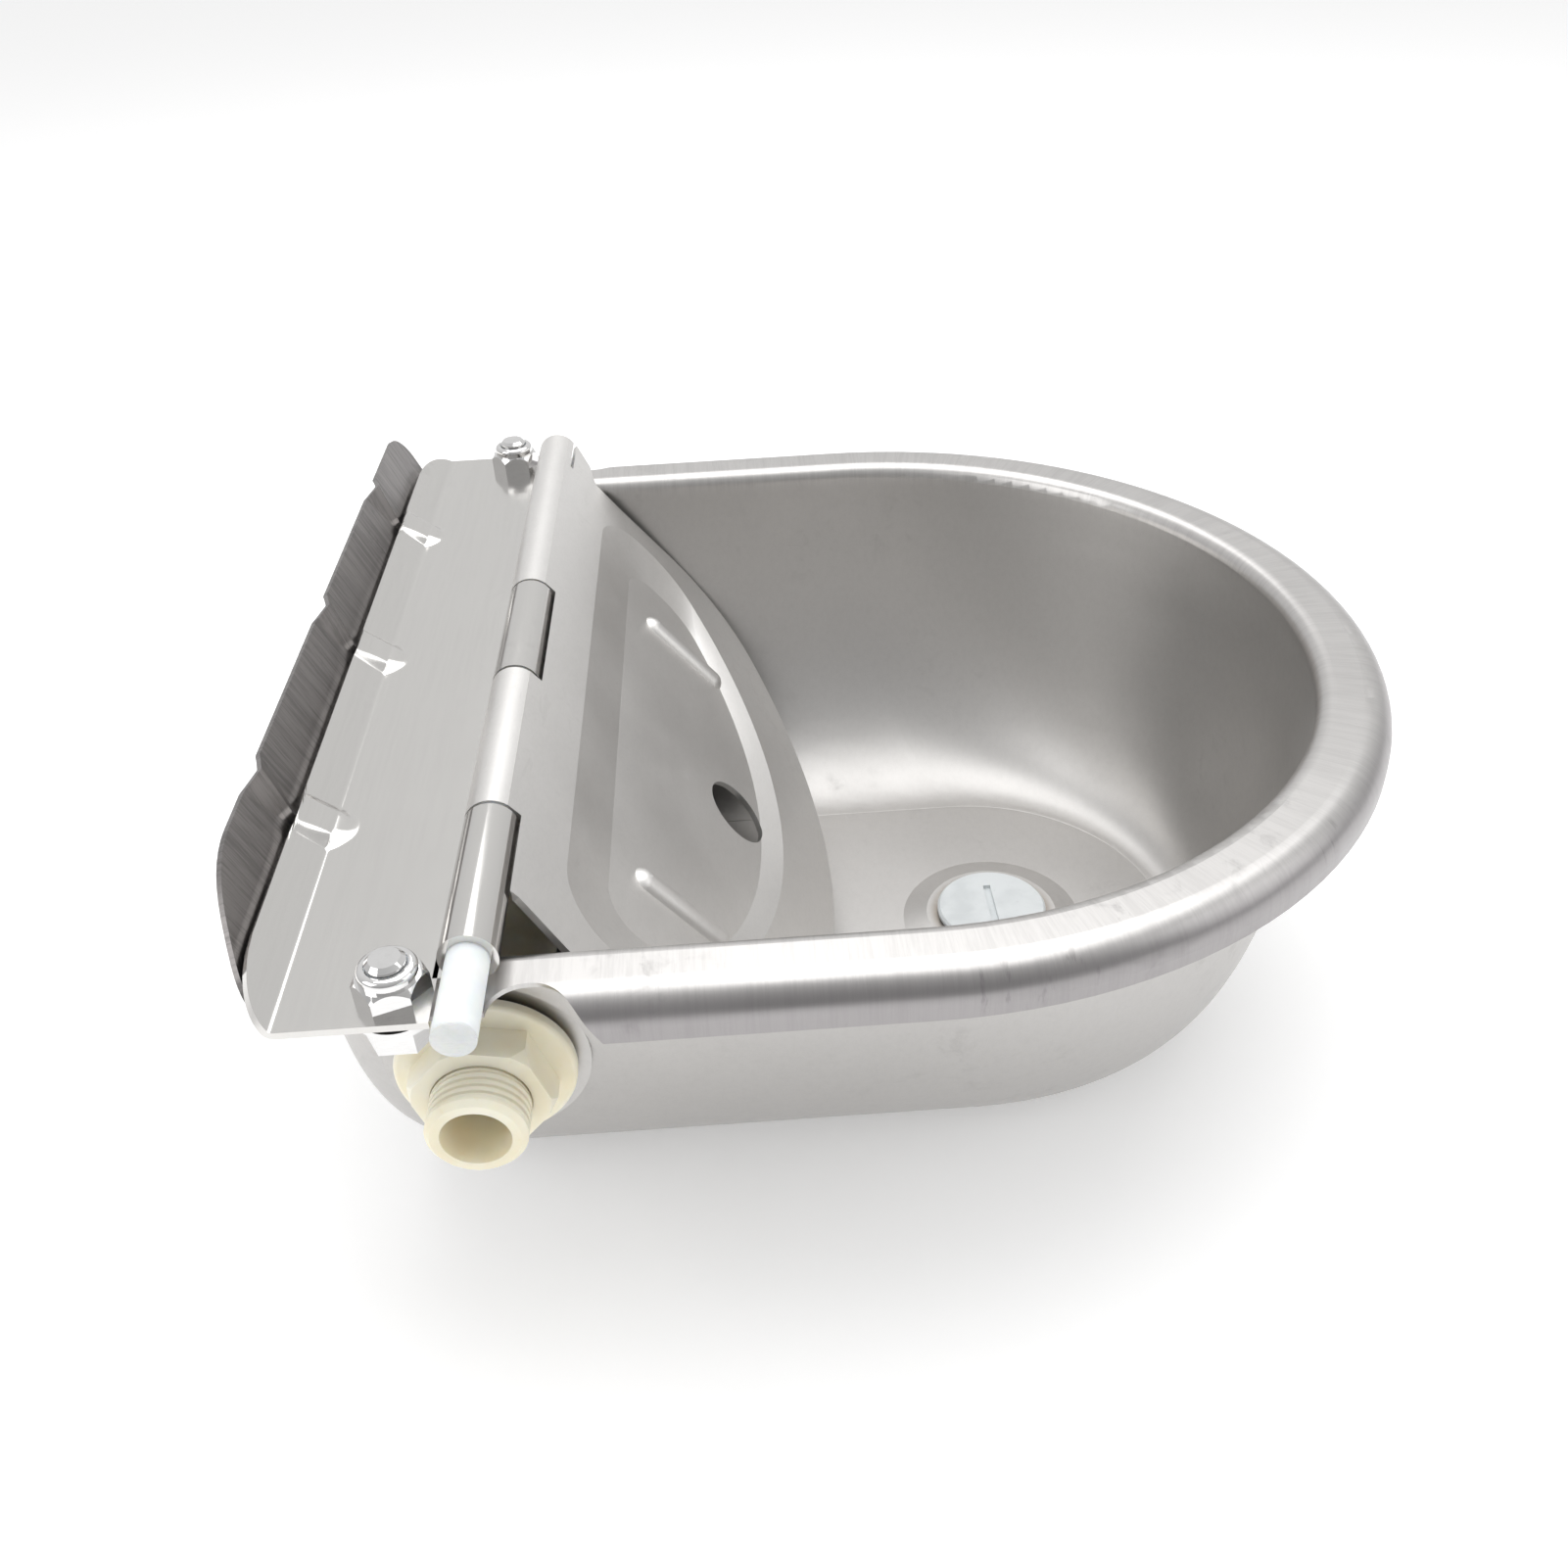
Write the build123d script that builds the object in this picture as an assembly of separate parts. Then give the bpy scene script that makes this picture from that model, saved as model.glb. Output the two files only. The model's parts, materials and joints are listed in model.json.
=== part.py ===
from build123d import *
import os
from math import atan2, cos, radians, sin

os.makedirs("parts", exist_ok=True)

# Frame: the origin is the centre of the flat base, on its underside.
# +X points away from the wall, +Y away from the water inlet, +Z up.

# ---- clearances ----
running_fit = 0.08
knuckle_gap = 0.5
swing_gap = 0.7
shape_gap = 0.4

# ---- bowl ----
bowl_sheet = 1.2
rim_top = 100.4
wall_top = 92.0
wall_radius = 114.2
wall_rear = -129.0
wall_corner = 28.0
base_half_width = 58.0
base_front = 92.0
base_rear = -86.0
base_corner = 24.0
side_fullness = 1.9
front_fullness = 2.3
rear_fullness = 4.0
rim_width = 17.0
rim_skirt = 10.5
rim_bend = 2.8
rim_outer_bend = 7.5
front_centre = 2.2
rim_start = -77.5
skirt_notch_radius = 7.5
skirt_end_slope = 30.0
ear_corner = 12.0
ear_rear = -130.0
rim_radius = wall_radius + rim_width

# ---- rear lip ----
lip_angle = 65.5
lip_top = 118.5
lip_root = 1.8
lip_ledge = 0.65
lip_near_margin = 6.2
lip_far_margin = 9.2
rib_pitch = 74.0
rib_shift = 3.0
rib_width = 15.4
lip_rib_depth = 2.6
lip_rib_flank = 19.0
lip_rib_foot = 1.5
lip_near_end = lip_near_margin - rim_radius
lip_far_end = rim_radius - lip_far_margin

# ---- deck plate and hinge ----
plate_sheet = 1.6
deck_overhang = 3.3
deck_fold = -125.0
deck_corner = 14.0
deck_flange_angle = 41.0
deck_flange_run = 9.2
gusset_height = 2.4
gusset_reach = 3.5
gusset_flank = 21.0
hinge_x = -88.0
tube_radius = 6.0
deck_roll_open = 48.0
cover_roll_open = 70.0
far_tube_margin = 5.2
far_joint = 23.7
middle_joint = -22.1
near_joint = -79.0
near_tube_margin = 8.9
rod_grip = 12.8
deck_length = 2 * (rim_radius + deck_overhang)
far_tube_end = rim_radius - far_tube_margin
near_tube_end = near_tube_margin - rim_radius
rod_near_end = -rim_radius - rod_grip

# ---- guard cover ----
cover_slope = 51.0
cover_side_gap = 4.2
cover_reach = 117.0
cover_side_bend = 50.0
cover_side_end = 47.0
cover_corner_gap = 10.2
cover_far_ear = 2.5
cover_ear_length = 9.0
cover_ear_slope = 6.0
cover_shoulder = 12.0
cover_wall_gap = 2.0
cover_body_top = 21.0
cover_body_corner = 2.0
panel_top = 17.0
panel_margin = 11.0
panel_foot_margin = 22.0
panel_corner = 16.0
panel_side_bend = 30.0
panel_depth = 3.0
panel_top_step = 15.0
panel_side_step = 15.0
panel_foot_step = 6.0
panel_corner_step = 6.0
cover_rib_y = 62.0
cover_rib_start = 44.0
cover_rib_end = 70.0
cover_rib_radius = 4.2
cover_rib_height = 2.2
finger_hole = 21.0
finger_hole_at = 78.9
slit_length = 19.0
slit_width = 1.3
slit_start = 1.2
cover_half_width = wall_radius - cover_side_gap
cover_near_corner = cover_corner_gap - wall_radius

# ---- deck bolts ----
bolt_x = -102.5
bolt_margin = 5.1
bolt_size = 8.0
nut_width = 13.0
nut_height = 8.0
nut_hex_height = 5.4
bolt_tip = 1.6
washer_diameter = 16.0
washer_thickness = 1.6
bolt_head_height = 5.3
bolt_y = rim_radius - bolt_margin

# ---- inlet and float valve ----
inlet_x = -91.0
inlet_z = 69.7
thread_radius = 10.48
inlet_bore = 7.3
inlet_end = -135.0
inlet_chamfer = 1.2
thread_relief = 0.5
thread_relief_width = 2.2
free_thread = 8.0
flat_radius = 22.0
flat_press = 1.1
gasket_thickness = 1.6
gasket_radius = 17.5
inlet_nut_radius = 19.2
inlet_nut_flange = 2.6
inlet_nut_width = 27.0
inlet_nut_height = 10.5
barrel_radius = 12.0
barrel_end = -57.0
body_flange_radius = 18.0
body_flange = 3.2
seat_y = -79.0
seat_radius = 5.0
seat_bore = 2.6
seat_length = 7.0
seat_lip = 2.0
guide_radius = 7.5
plunger_travel = 1.8
seal_radius = 5.6
seal_thickness = 2.6
pivot_y = -49.0
pivot_drop = 10.0
pin_radius = 2.0
ear_thickness = 3.2
ear_inner = 4.6
lever_width = 8.0
arm_height = 6.3
arm_drop = 3.2
lever_tip = 62.0
cam_radius = 3.0
flat_y = flat_press - wall_radius

# ---- float ----
float_radius = 22.0
float_length = 84.0
float_end_radius = 8.0
float_centre_y = 30.0
float_gap = 4.0
float_bolt_radius = 3.0
float_boss_radius = 8.0
float_groove_at = 17.0
float_groove_width = 2.0
float_groove_depth = 1.0
float_thread_depth = 14.0
float_thread_rise = 9.0

# ---- drain ----
drain_x = 38.5
drain_rise = 2.0
drain_pad_radius = 19.5
drain_pad_flank = 7.0
plug_radius = 16.2
plug_head = 1.8
plug_thread_radius = 9.0
plug_slot_width = 2.2
plug_slot_length = 18.6
plug_slot_depth = 1.2
drain_gasket_thickness = 0.8
drain_nut_thickness = 1.8
drain_nut_width = 26.0


def cylinder_along(axis, radius, start, end, at=(0, 0)):
    """Cylinder along X, Y or Z between two stations, centred on the other two coordinates."""
    length = end - start
    if axis == "Z":
        plane = Plane.XY.move(Location((at[0], at[1], start)))
    elif axis == "Y":
        plane = Plane((at[0], start, at[1]), x_dir=(1, 0, 0), z_dir=(0, 1, 0))
    else:
        plane = Plane((start, at[0], at[1]), x_dir=(0, 1, 0), z_dir=(1, 0, 0))
    return extrude(plane * Circle(radius), length)


def hexagon_along(axis, width, start, end, at=(0, 0), turn=0):
    """Hexagonal prism, measured across its flats, along Y or Z."""
    if axis == "Z":
        plane = Plane.XY.move(Location((at[0], at[1], start)))
    else:
        plane = Plane((at[0], start, at[1]), x_dir=(1, 0, 0), z_dir=(0, 1, 0))
    corner_radius = width / 2 / cos(radians(30))
    return extrude(plane * Rot(0, 0, turn) * RegularPolygon(corner_radius, 6), end - start)


def box_between(x0, x1, y0, y1, z0, z1):
    """Box between two corners."""
    centre = ((x0 + x1) / 2, (y0 + y1) / 2, (z0 + z1) / 2)
    return Pos(*centre) * Box(x1 - x0, y1 - y0, z1 - z0)


def sheet_profile(points, bend_radius, thickness):
    """Face of a bent sheet: points run along one side and the sheet lies to the left of them.

    bend_radius is the inner radius of every bend.
    """
    count = len(points)
    headings = []
    for i in range(count - 1):
        dx = points[i + 1][0] - points[i][0]
        dz = points[i + 1][1] - points[i][1]
        headings.append(atan2(dz, dx))
    left_side = []
    first_radii = []
    left_radii = []
    for i in range(count):
        before = headings[max(i - 1, 0)]
        after = headings[min(i, count - 2)]
        half_turn = (after - before) / 2
        middle = before + half_turn
        reach = thickness / cos(half_turn)
        left_side.append((points[i][0] - reach * sin(middle), points[i][1] + reach * cos(middle)))
        if 0 < i < count - 1:
            turns_left = half_turn > 0
            first_radii.append(bend_radius + (thickness if turns_left else 0))
            left_radii.append(bend_radius + (0 if turns_left else thickness))
    if count > 2:
        side_a = FilletPolyline(*points, radius=first_radii)
        side_b = FilletPolyline(*left_side, radius=left_radii)
    else:
        side_a = Line(points[0], points[1])
        side_b = Line(left_side[0], left_side[1])
    ends = [Line(points[0], left_side[0]), Line(points[-1], left_side[-1])]
    return make_face([side_a, side_b] + ends)


def fullness(t, power):
    """Superellipse rise from 0 at the base to 1 at the top of the wall."""
    return (1 - (1 - t) ** power) ** (1 / power)


def bowl_outline(t, inset, height):
    """D-shaped outline of the bowl wall at fraction t of its height."""
    half = base_half_width + (wall_radius - base_half_width) * fullness(t, side_fullness) - inset
    wall_front = front_centre + wall_radius
    front = base_front + (wall_front - base_front) * fullness(t, front_fullness) - inset
    rear = base_rear + (wall_rear - base_rear) * fullness(t, rear_fullness) + inset
    corner = base_corner + (wall_corner - base_corner) * t - inset
    centre = front - half
    bow = corner * (1 - cos(radians(45)))
    outline = [
        ThreePointArc((centre, -half), (front, 0), (centre, half)),
        Line((centre, half), (rear + corner, half)),
        ThreePointArc((rear + corner, half), (rear + bow, half - bow), (rear, half - corner)),
        Line((rear, half - corner), (rear, corner - half)),
        ThreePointArc((rear, corner - half), (rear + bow, bow - half), (rear + corner, -half)),
        Line((rear + corner, -half), (centre, -half)),
    ]
    return Pos(0, 0, height) * make_face(outline)


def bowl_block(inset, floor):
    """Solid bounded by the bowl wall, lofted through its outlines."""
    stations = [0, 0.012, 0.05, 0.12, 0.22, 0.36, 0.54, 0.76, 1]
    outlines = [bowl_outline(t, inset, floor + (wall_top - floor) * t) for t in stations]
    return loft(outlines)


def rim_profile():
    """Section of the rolled rim, from the wall over the top and down to the edge of its skirt."""
    inner = wall_radius - bowl_sheet
    points = [
        (inner, wall_top),
        (inner, rim_top),
        (rim_radius, rim_top),
        (rim_radius, rim_top - rim_skirt),
    ]
    return points


def rolled_face(points):
    """Face of a sheet rolled outwards; the points run along its visible side."""
    outer_radii = [rim_bend + bowl_sheet, rim_outer_bend][: len(points) - 2]
    outer = FilletPolyline(*points, radius=outer_radii)
    hidden = [
        (points[0][0] + bowl_sheet, points[0][1]),
        (points[1][0] + bowl_sheet, points[1][1] - bowl_sheet),
    ]
    if len(points) == 4:
        hidden.append((points[2][0] - bowl_sheet, points[2][1] - bowl_sheet))
        hidden.append((points[3][0] - bowl_sheet, points[3][1]))
    else:
        hidden.append((points[2][0], points[2][1] - bowl_sheet))
    inner_radii = [rim_bend, rim_outer_bend - bowl_sheet][: len(hidden) - 2]
    inner = FilletPolyline(*hidden, radius=inner_radii)
    ends = [Line(points[0], hidden[0]), Line(points[-1], hidden[-1])]
    return make_face([outer, inner] + ends)


def on_side(face, side, x=0):
    """Stands a section drawn in (distance from centre, height) on the plane across the bowl."""
    return Plane((x, 0, 0), x_dir=(0, side, 0), z_dir=(side, 0, 0)) * face


def make_rim():
    """Rolled rim round the front and along both sides, and plain bends at the rear corners."""
    rim = rolled_face(rim_profile())
    front_axis = Axis((front_centre, 0, 0), (0, 0, 1))
    parts = [revolve(on_side(rim, -1, front_centre), front_axis, 180)]
    flat_end = rim_radius - rim_outer_bend
    flange = rolled_face([rim_profile()[0], rim_profile()[1], (flat_end, rim_top)])
    corner_x = wall_rear + wall_corner
    corner_y = wall_radius - wall_corner
    for side in (-1, 1):
        section = on_side(rim, side, front_centre)
        parts.append(extrude(section, front_centre - rim_start, dir=(-1, 0, 0)))
        ear_section = on_side(flange, side, rim_start)
        parts.append(extrude(ear_section, rim_start - corner_x, dir=(-1, 0, 0)))
        bend = on_side(flange, side, corner_x)
        axis = Axis((corner_x, side * corner_y, 0), (0, 0, side))
        parts.append(revolve(bend, axis, 90))
    return parts


def skirt_notches(side):
    """Cutters that notch the flange beside an ear and end the skirt of the rim in a slope."""
    centre_y = side * (rim_radius - rim_outer_bend + skirt_notch_radius)
    depth = rim_skirt + 2
    upright = cylinder_along("Z", skirt_notch_radius, rim_top + 1 - depth, rim_top + 1, (rim_start, centre_y))
    circle = Pos(rim_start, centre_y, rim_top + 1) * Circle(skirt_notch_radius)
    slope = radians(skirt_end_slope)
    slanted = extrude(circle, depth / cos(slope), dir=(sin(slope), 0, -cos(slope)))
    return [upright, slanted]


def ear_plates():
    """Flat ears that carry the deck plate, one on each side."""
    ears = []
    for side in (-1, 1):
        length = rim_start - ear_rear
        width = rim_radius - wall_radius + wall_corner
        ear = Pos((rim_start + ear_rear) / 2, side * (rim_radius - width / 2)) * Rectangle(length, width)
        ear = Pos(0, 0, rim_top - bowl_sheet) * ear
        plate = extrude(ear, bowl_sheet)
        corner = plate.edges().filter_by(Axis.Z).sort_by(lambda e: e.center().X - side * e.center().Y)[0]
        ears.append(fillet(corner, ear_corner))
    return ears


lip_height = (lip_top - rim_top + lip_root) / sin(radians(lip_angle))


def lip_outline():
    """Outline of the rear lip in (Y, distance up its slope), rounded at both ends."""
    height = lip_height
    near_rise = (lip_near_end + 8, height * 0.48)
    near_top = (lip_near_end + 35, height)
    far_bow = (lip_far_end - 2.6, height - 3.4)
    outline = [
        Spline((lip_near_end, 0), near_rise, near_top, tangents=((0.25, 1), (1, 0))),
        Line(near_top, (lip_far_end - 11, height)),
        ThreePointArc((lip_far_end - 11, height), far_bow, (lip_far_end, height - 11)),
        Line((lip_far_end, height - 11), (lip_far_end, 0)),
        Line((lip_far_end, 0), (lip_near_end, 0)),
    ]
    return make_face(outline)


def lip_plane():
    """Plane of the rear lip: X runs along the lip, Y up its slope, the normal faces the rear."""
    start = (wall_rear - lip_ledge, 0, rim_top - lip_root)
    return Plane(start, x_dir=(0, -1, 0), z_dir=(-sin(radians(lip_angle)), 0, -cos(radians(lip_angle))))


def rib_places():
    """Y of the three pressed ribs."""
    return [rib_shift + rib_pitch * k for k in (-1, 0, 1)]


def pressed_rib(section_points, y, flank):
    """Roof-shaped rib: a section in (X, Z) that shrinks to both sides of its ridge at Y."""
    section = make_face(Polyline(*section_points, close=True))
    plane = Plane((0, y, 0), x_dir=(1, 0, 0), z_dir=(0, -1, 0))
    return extrude(plane * section, rib_width / 2, both=True, taper=flank)


def on_lip(up, forward):
    """Point in (X, Z) at a distance up the slope of the lip and forward of its front face."""
    lean = radians(lip_angle)
    x = wall_rear - lip_ledge - up * cos(lean) + forward * sin(lean)
    z = rim_top - lip_root + up * sin(lean) + forward * cos(lean)
    return (x, z)


def make_lip():
    """Rear lip that leans outwards, with rounded ends and three ribs pressed through its edge."""
    lip = extrude(lip_plane() * mirror(lip_outline(), Plane.YZ), bowl_sheet)
    past_edge = lip_height * 1.3
    clear = 4 * lip_rib_depth
    rise = lip_rib_depth * (past_edge - lip_rib_foot) / (lip_height - lip_rib_foot)
    rib_points = [
        on_lip(lip_rib_foot, 0),
        on_lip(past_edge, rise),
        on_lip(past_edge, -4 * bowl_sheet),
        on_lip(lip_rib_foot, -4 * bowl_sheet),
    ]
    edge_points = [
        on_lip(lip_height, clear),
        on_lip(lip_height, -clear),
        on_lip(lip_height * 2, -clear),
        on_lip(lip_height * 2, clear),
    ]
    above_edge = along_y(make_face(Polyline(*edge_points, close=True)), -rim_radius, rim_radius)
    front_points = [
        on_lip(-1, -bowl_sheet / 2),
        on_lip(lip_height * 2, -bowl_sheet / 2),
        on_lip(lip_height * 2, clear),
        on_lip(-1, clear),
    ]
    in_front = along_y(make_face(Polyline(*front_points, close=True)), -rim_radius, rim_radius)
    back = lip_plane().z_dir * bowl_sheet
    for y in rib_places():
        rib = pressed_rib(rib_points, y, lip_rib_flank)
        lip = lip + ((rib & in_front) - above_edge) - Pos(back) * rib
    return lip


def make_bowl():
    """Drawn bowl shell with its rim, ears, lip, inlet flat and raised drain seat."""
    side = (inlet_x, inlet_z)
    flat_inner = flat_y + bowl_sheet
    outer = bowl_block(0, 0)
    outer += cylinder_along("Y", flat_radius, flat_y, flat_y + 22, side)
    outer -= cylinder_along("Y", flat_radius, flat_y - 20, flat_y, side)
    cavity = bowl_block(bowl_sheet, bowl_sheet)
    cavity += cylinder_along("Y", flat_radius - bowl_sheet, flat_inner, flat_inner + 22, side)
    cavity -= cylinder_along("Y", flat_radius + bowl_sheet, flat_inner - 20, flat_inner, side)
    pad = Cone(drain_pad_radius + drain_pad_flank, drain_pad_radius, drain_rise)
    pad = Pos(drain_x, 0, drain_rise / 2) * pad
    outer -= pad
    cavity -= Pos(0, 0, bowl_sheet) * pad
    shell = outer - cavity
    for piece in make_rim():
        shell += piece
    straight = wall_radius - wall_corner
    shell += box_between(wall_rear, wall_rear + bowl_sheet, -straight, straight, wall_top, rim_top)
    for ear in ear_plates():
        shell += ear - extrude(bowl_outline(1, -rim_bend, wall_top), 20)
    shell += make_lip()
    bolt_hole = bolt_size / 2 + 0.5
    for end in (-1, 1):
        shell -= cylinder_along("Z", bolt_hole, rim_top - 5, rim_top + 5, (bolt_x, end * bolt_y))
    shell -= cylinder_along("Y", thread_radius + 0.25, flat_y - 8, flat_y + 20, side)
    shell -= cylinder_along("Z", plug_thread_radius + 0.5, -5, 20, (drain_x, 0))
    for end in (-1, 1):
        for cutter in skirt_notches(end):
            shell -= cutter
    return shell


def roll_face(sheet_angle, open_turn):
    """Section of a rolled hinge knuckle in (X, Z).

    sheet_angle is where its sheet touches it, and open_turn the angle that the roll leaves open.
    """
    centre = (hinge_x, rim_top + tube_radius)
    ring = Pos(*centre) * (Circle(tube_radius) - Circle(tube_radius - plate_sheet))
    reach = 3 * tube_radius
    opening = [centre]
    for share in (0, 0.5, 1):
        angle = radians(sheet_angle - share * open_turn)
        opening.append((centre[0] + reach * cos(angle), centre[1] + reach * sin(angle)))
    return ring - make_face(Polyline(*opening, close=True))


def along_y(face, start, end):
    """Extrudes a section drawn in (X, Z) from one Y to another."""
    return extrude(Plane((0, start, 0), x_dir=(1, 0, 0), z_dir=(0, -1, 0)) * face, start - end)


def deck_knuckles():
    """Y spans of the knuckles that are rolled from the deck plate."""
    return [(near_tube_end, near_joint - knuckle_gap), (middle_joint + knuckle_gap, far_joint - knuckle_gap)]


def cover_knuckles():
    """Y spans of the knuckles that are rolled from the cover."""
    return [(near_joint + knuckle_gap, middle_joint - knuckle_gap), (far_joint + knuckle_gap, far_tube_end)]


def make_deck():
    """Deck plate with a turned-up rear flange, three pressed gussets and two rolled knuckles."""
    front = hinge_x - tube_radius - swing_gap
    top = rim_top + plate_sheet
    rise = radians(deck_flange_angle)
    flange_x = deck_fold - deck_flange_run * cos(rise)
    flange_z = rim_top + deck_flange_run * sin(rise)
    section = sheet_profile([(flange_x, flange_z), (deck_fold, rim_top), (front, rim_top)], 1.2, plate_sheet)
    half = deck_length / 2
    deck = along_y(section, -half, half)
    trim_box = box_between(flange_x - 3, front + 3, -half, half, rim_top - 4, rim_top + 26)
    corners = trim_box.edges().filter_by(Axis.Z).sort_by(Axis.X)[:2]
    deck &= fillet(corners, deck_corner)
    past_edge = deck_flange_run + 3
    lift = gusset_height + plate_sheet
    ridge_end = (
        deck_fold - past_edge * cos(rise) - lift * sin(rise),
        rim_top + past_edge * sin(rise) + lift * cos(rise),
    )
    gusset_points = [
        (deck_fold + gusset_reach, top - plate_sheet / 2),
        (deck_fold, top + gusset_height),
        ridge_end,
        (ridge_end[0], rim_top - 2 * plate_sheet),
    ]
    upright = 4 * tube_radius
    above_points = [
        (flange_x, flange_z + plate_sheet / 2),
        (deck_fold, rim_top + plate_sheet / 2),
        (front, rim_top + plate_sheet / 2),
        (front, top + upright),
        (flange_x - upright * sin(rise), flange_z + upright * cos(rise)),
    ]
    above = along_y(make_face(Polyline(*above_points, close=True)), -half, half)
    for y in rib_places():
        gusset = pressed_rib(gusset_points, y, gusset_flank)
        hollow = Pos(plate_sheet * sin(rise / 2), 0, -plate_sheet * cos(rise / 2)) * gusset
        deck = deck + (gusset & above) - hollow
    for start, end in deck_knuckles():
        deck += along_y(roll_face(-90, deck_roll_open), start, end)
        deck += box_between(front - 1, hinge_x, start, end, rim_top, top)
    for end in (-1, 1):
        deck -= cylinder_along("Z", bolt_size / 2 + 0.25, rim_top - 5, top + 5, (bolt_x, end * bolt_y))
    return deck


def cover_plane():
    """Plane of the cover's upper face, from where it leaves the hinge roll: X runs down the slope."""
    slope = radians(cover_slope)
    start = (hinge_x + tube_radius * sin(slope), 0, rim_top + tube_radius + tube_radius * cos(slope))
    return Plane(start, x_dir=(cos(slope), 0, -sin(slope)), z_dir=(sin(slope), 0, cos(slope)))


def cover_front_bend():
    """Radius of the free edge that meets the end of both straight sides through their bends."""
    past_side = cover_reach - cover_side_end
    half = cover_half_width - cover_side_bend
    return (past_side**2 + half**2 - cover_side_bend**2) / (2 * (past_side - cover_side_bend))


def rounded_half(width, reach, top, corner, side_bend, front_bend):
    """Face with a straight top edge, rounded corners and a blunt rounded lower end."""
    front_centre = reach - front_bend
    side_at = front_centre + ((front_bend - side_bend) ** 2 - (width - side_bend) ** 2) ** 0.5
    blend = atan2(width - side_bend, side_at - front_centre)
    touch = (front_centre + front_bend * cos(blend), front_bend * sin(blend))
    half_way = (radians(90) + blend) / 2
    middle = (side_at + side_bend * cos(half_way), width - side_bend + side_bend * sin(half_way))
    bow = corner * (1 - cos(radians(45)))
    sides = [
        Line((top + corner, width), (side_at, width)),
        ThreePointArc((side_at, width), middle, touch),
        ThreePointArc(touch, (reach, 0), (touch[0], -touch[1])),
        ThreePointArc((touch[0], -touch[1]), (middle[0], -middle[1]), (side_at, -width)),
        Line((side_at, -width), (top + corner, -width)),
        ThreePointArc((top + corner, -width), (top + bow, bow - width), (top, corner - width)),
        Line((top, corner - width), (top, width - corner)),
        ThreePointArc((top, width - corner), (top + bow, width - bow), (top + corner, width)),
    ]
    return make_face(sides)


def panel_outline(level):
    """Outline of the pressed panel where its sloping wall passes a level above or below the plate."""
    share = -level / panel_depth
    foot = panel_foot_margin + share * panel_foot_step
    side = panel_margin + share * panel_side_step
    outline = rounded_half(
        cover_half_width - side,
        cover_reach - foot,
        panel_top + share * panel_top_step,
        panel_corner - share * panel_corner_step,
        panel_side_bend - share * panel_side_step / 2,
        cover_front_bend() - foot,
    )
    return Pos(0, 0, level) * outline


def cover_blank():
    """Outline of the flat cover plate, from its rolled knuckles to its free edge."""
    body = rounded_half(
        cover_half_width,
        cover_reach,
        cover_body_top,
        cover_body_corner,
        cover_side_bend,
        cover_front_bend(),
    )
    far_width = wall_radius - bowl_sheet - cover_wall_gap
    body_start = cover_body_top + 1.5 * cover_body_corner
    strip = [
        (-1, far_tube_end),
        (cover_far_ear, far_tube_end),
        (cover_ear_length, far_tube_end - cover_ear_slope),
        (cover_shoulder, far_width),
        (body_start, cover_half_width),
        (body_start, -cover_half_width),
        (tube_radius - 0.5, cover_near_corner),
        (-1, cover_near_corner),
    ]
    return body + make_face(Polyline(*strip, close=True))


def make_cover():
    """Guard cover with rolled knuckles, a sloping plate, a pressed panel, ribs and a finger hole."""
    plane = cover_plane()
    normal = plane.z_dir
    cover = extrude(plane * cover_blank(), -plate_sheet)
    tub = loft([plane * panel_outline(-panel_depth), plane * panel_outline(panel_depth / 2)], ruled=True)
    below = Pos(normal * -plate_sheet) * tub
    through = 2 * (panel_depth + plate_sheet)
    slab = Pos(0, 0, -plate_sheet / 2) * Rectangle(4 * cover_reach, 4 * cover_half_width)
    below &= extrude(plane * slab, -2 * through)
    cover = cover + below - tub
    for side in (-1, 1):
        rib = rib_capsule(plane, side, 0)
        rib_hollow = rib_capsule(plane, side, plate_sheet)
        cover = cover + rib - rib_hollow
    hole = plane * Pos(finger_hole_at, 0) * Circle(finger_hole / 2)
    cover -= extrude(hole, through, both=True)
    hinge_axis = (hinge_x, rim_top + tube_radius)
    bore = tube_radius - plate_sheet
    for start, end in deck_knuckles():
        low = min(start, cover_near_corner) - 30 if start == near_tube_end else start - 2 * knuckle_gap
        cover -= cylinder_along("Y", tube_radius + swing_gap, low, end + 2 * knuckle_gap, hinge_axis)
    for start, end in cover_knuckles():
        cover -= cylinder_along("Y", (bore + tube_radius) / 2, start, end, hinge_axis)
        cover += along_y(roll_face(90 - cover_slope, cover_roll_open), start, end)
    slit = Pos(slit_start + slit_width / 2, far_tube_end) * Rectangle(slit_width, 2 * slit_length)
    return cover - extrude(plane * slit, 3 * plate_sheet, both=True)


def rib_capsule(plane, side, inset):
    """Raised rib on the pressed panel: a capsule laid down the slope, smaller for its hollow."""
    radius = cover_rib_radius - inset
    level = -panel_depth - cover_rib_radius + cover_rib_height
    round_end = plane * Pos(cover_rib_start, side * cover_rib_y, level) * Rot(0, 90, 0) * Circle(radius)
    capsule = extrude(round_end, cover_rib_end - cover_rib_start)
    for at in (cover_rib_start, cover_rib_end):
        capsule += plane * Pos(at, side * cover_rib_y, level) * Sphere(radius)
    margin = 4 * cover_rib_radius
    keep_level = -panel_depth - plate_sheet / 2 - (margin if inset else 0)
    middle = (cover_rib_start + cover_rib_end) / 2
    keep = Rectangle(cover_rib_end - cover_rib_start + margin, margin)
    keep = plane * Pos(middle, side * cover_rib_y, keep_level) * keep
    return capsule & extrude(keep, 2 * margin)


def make_rod():
    """Plastic hinge rod that runs through every knuckle and stands out at the near end."""
    radius = tube_radius - plate_sheet - running_fit
    rod = cylinder_along("Y", radius, rod_near_end, far_tube_end - 2, (hinge_x, rim_top + tube_radius))
    return chamfer(rod.edges().filter_by(GeomType.CIRCLE).sort_by(Axis.Y)[-1], 1.0)


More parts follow.
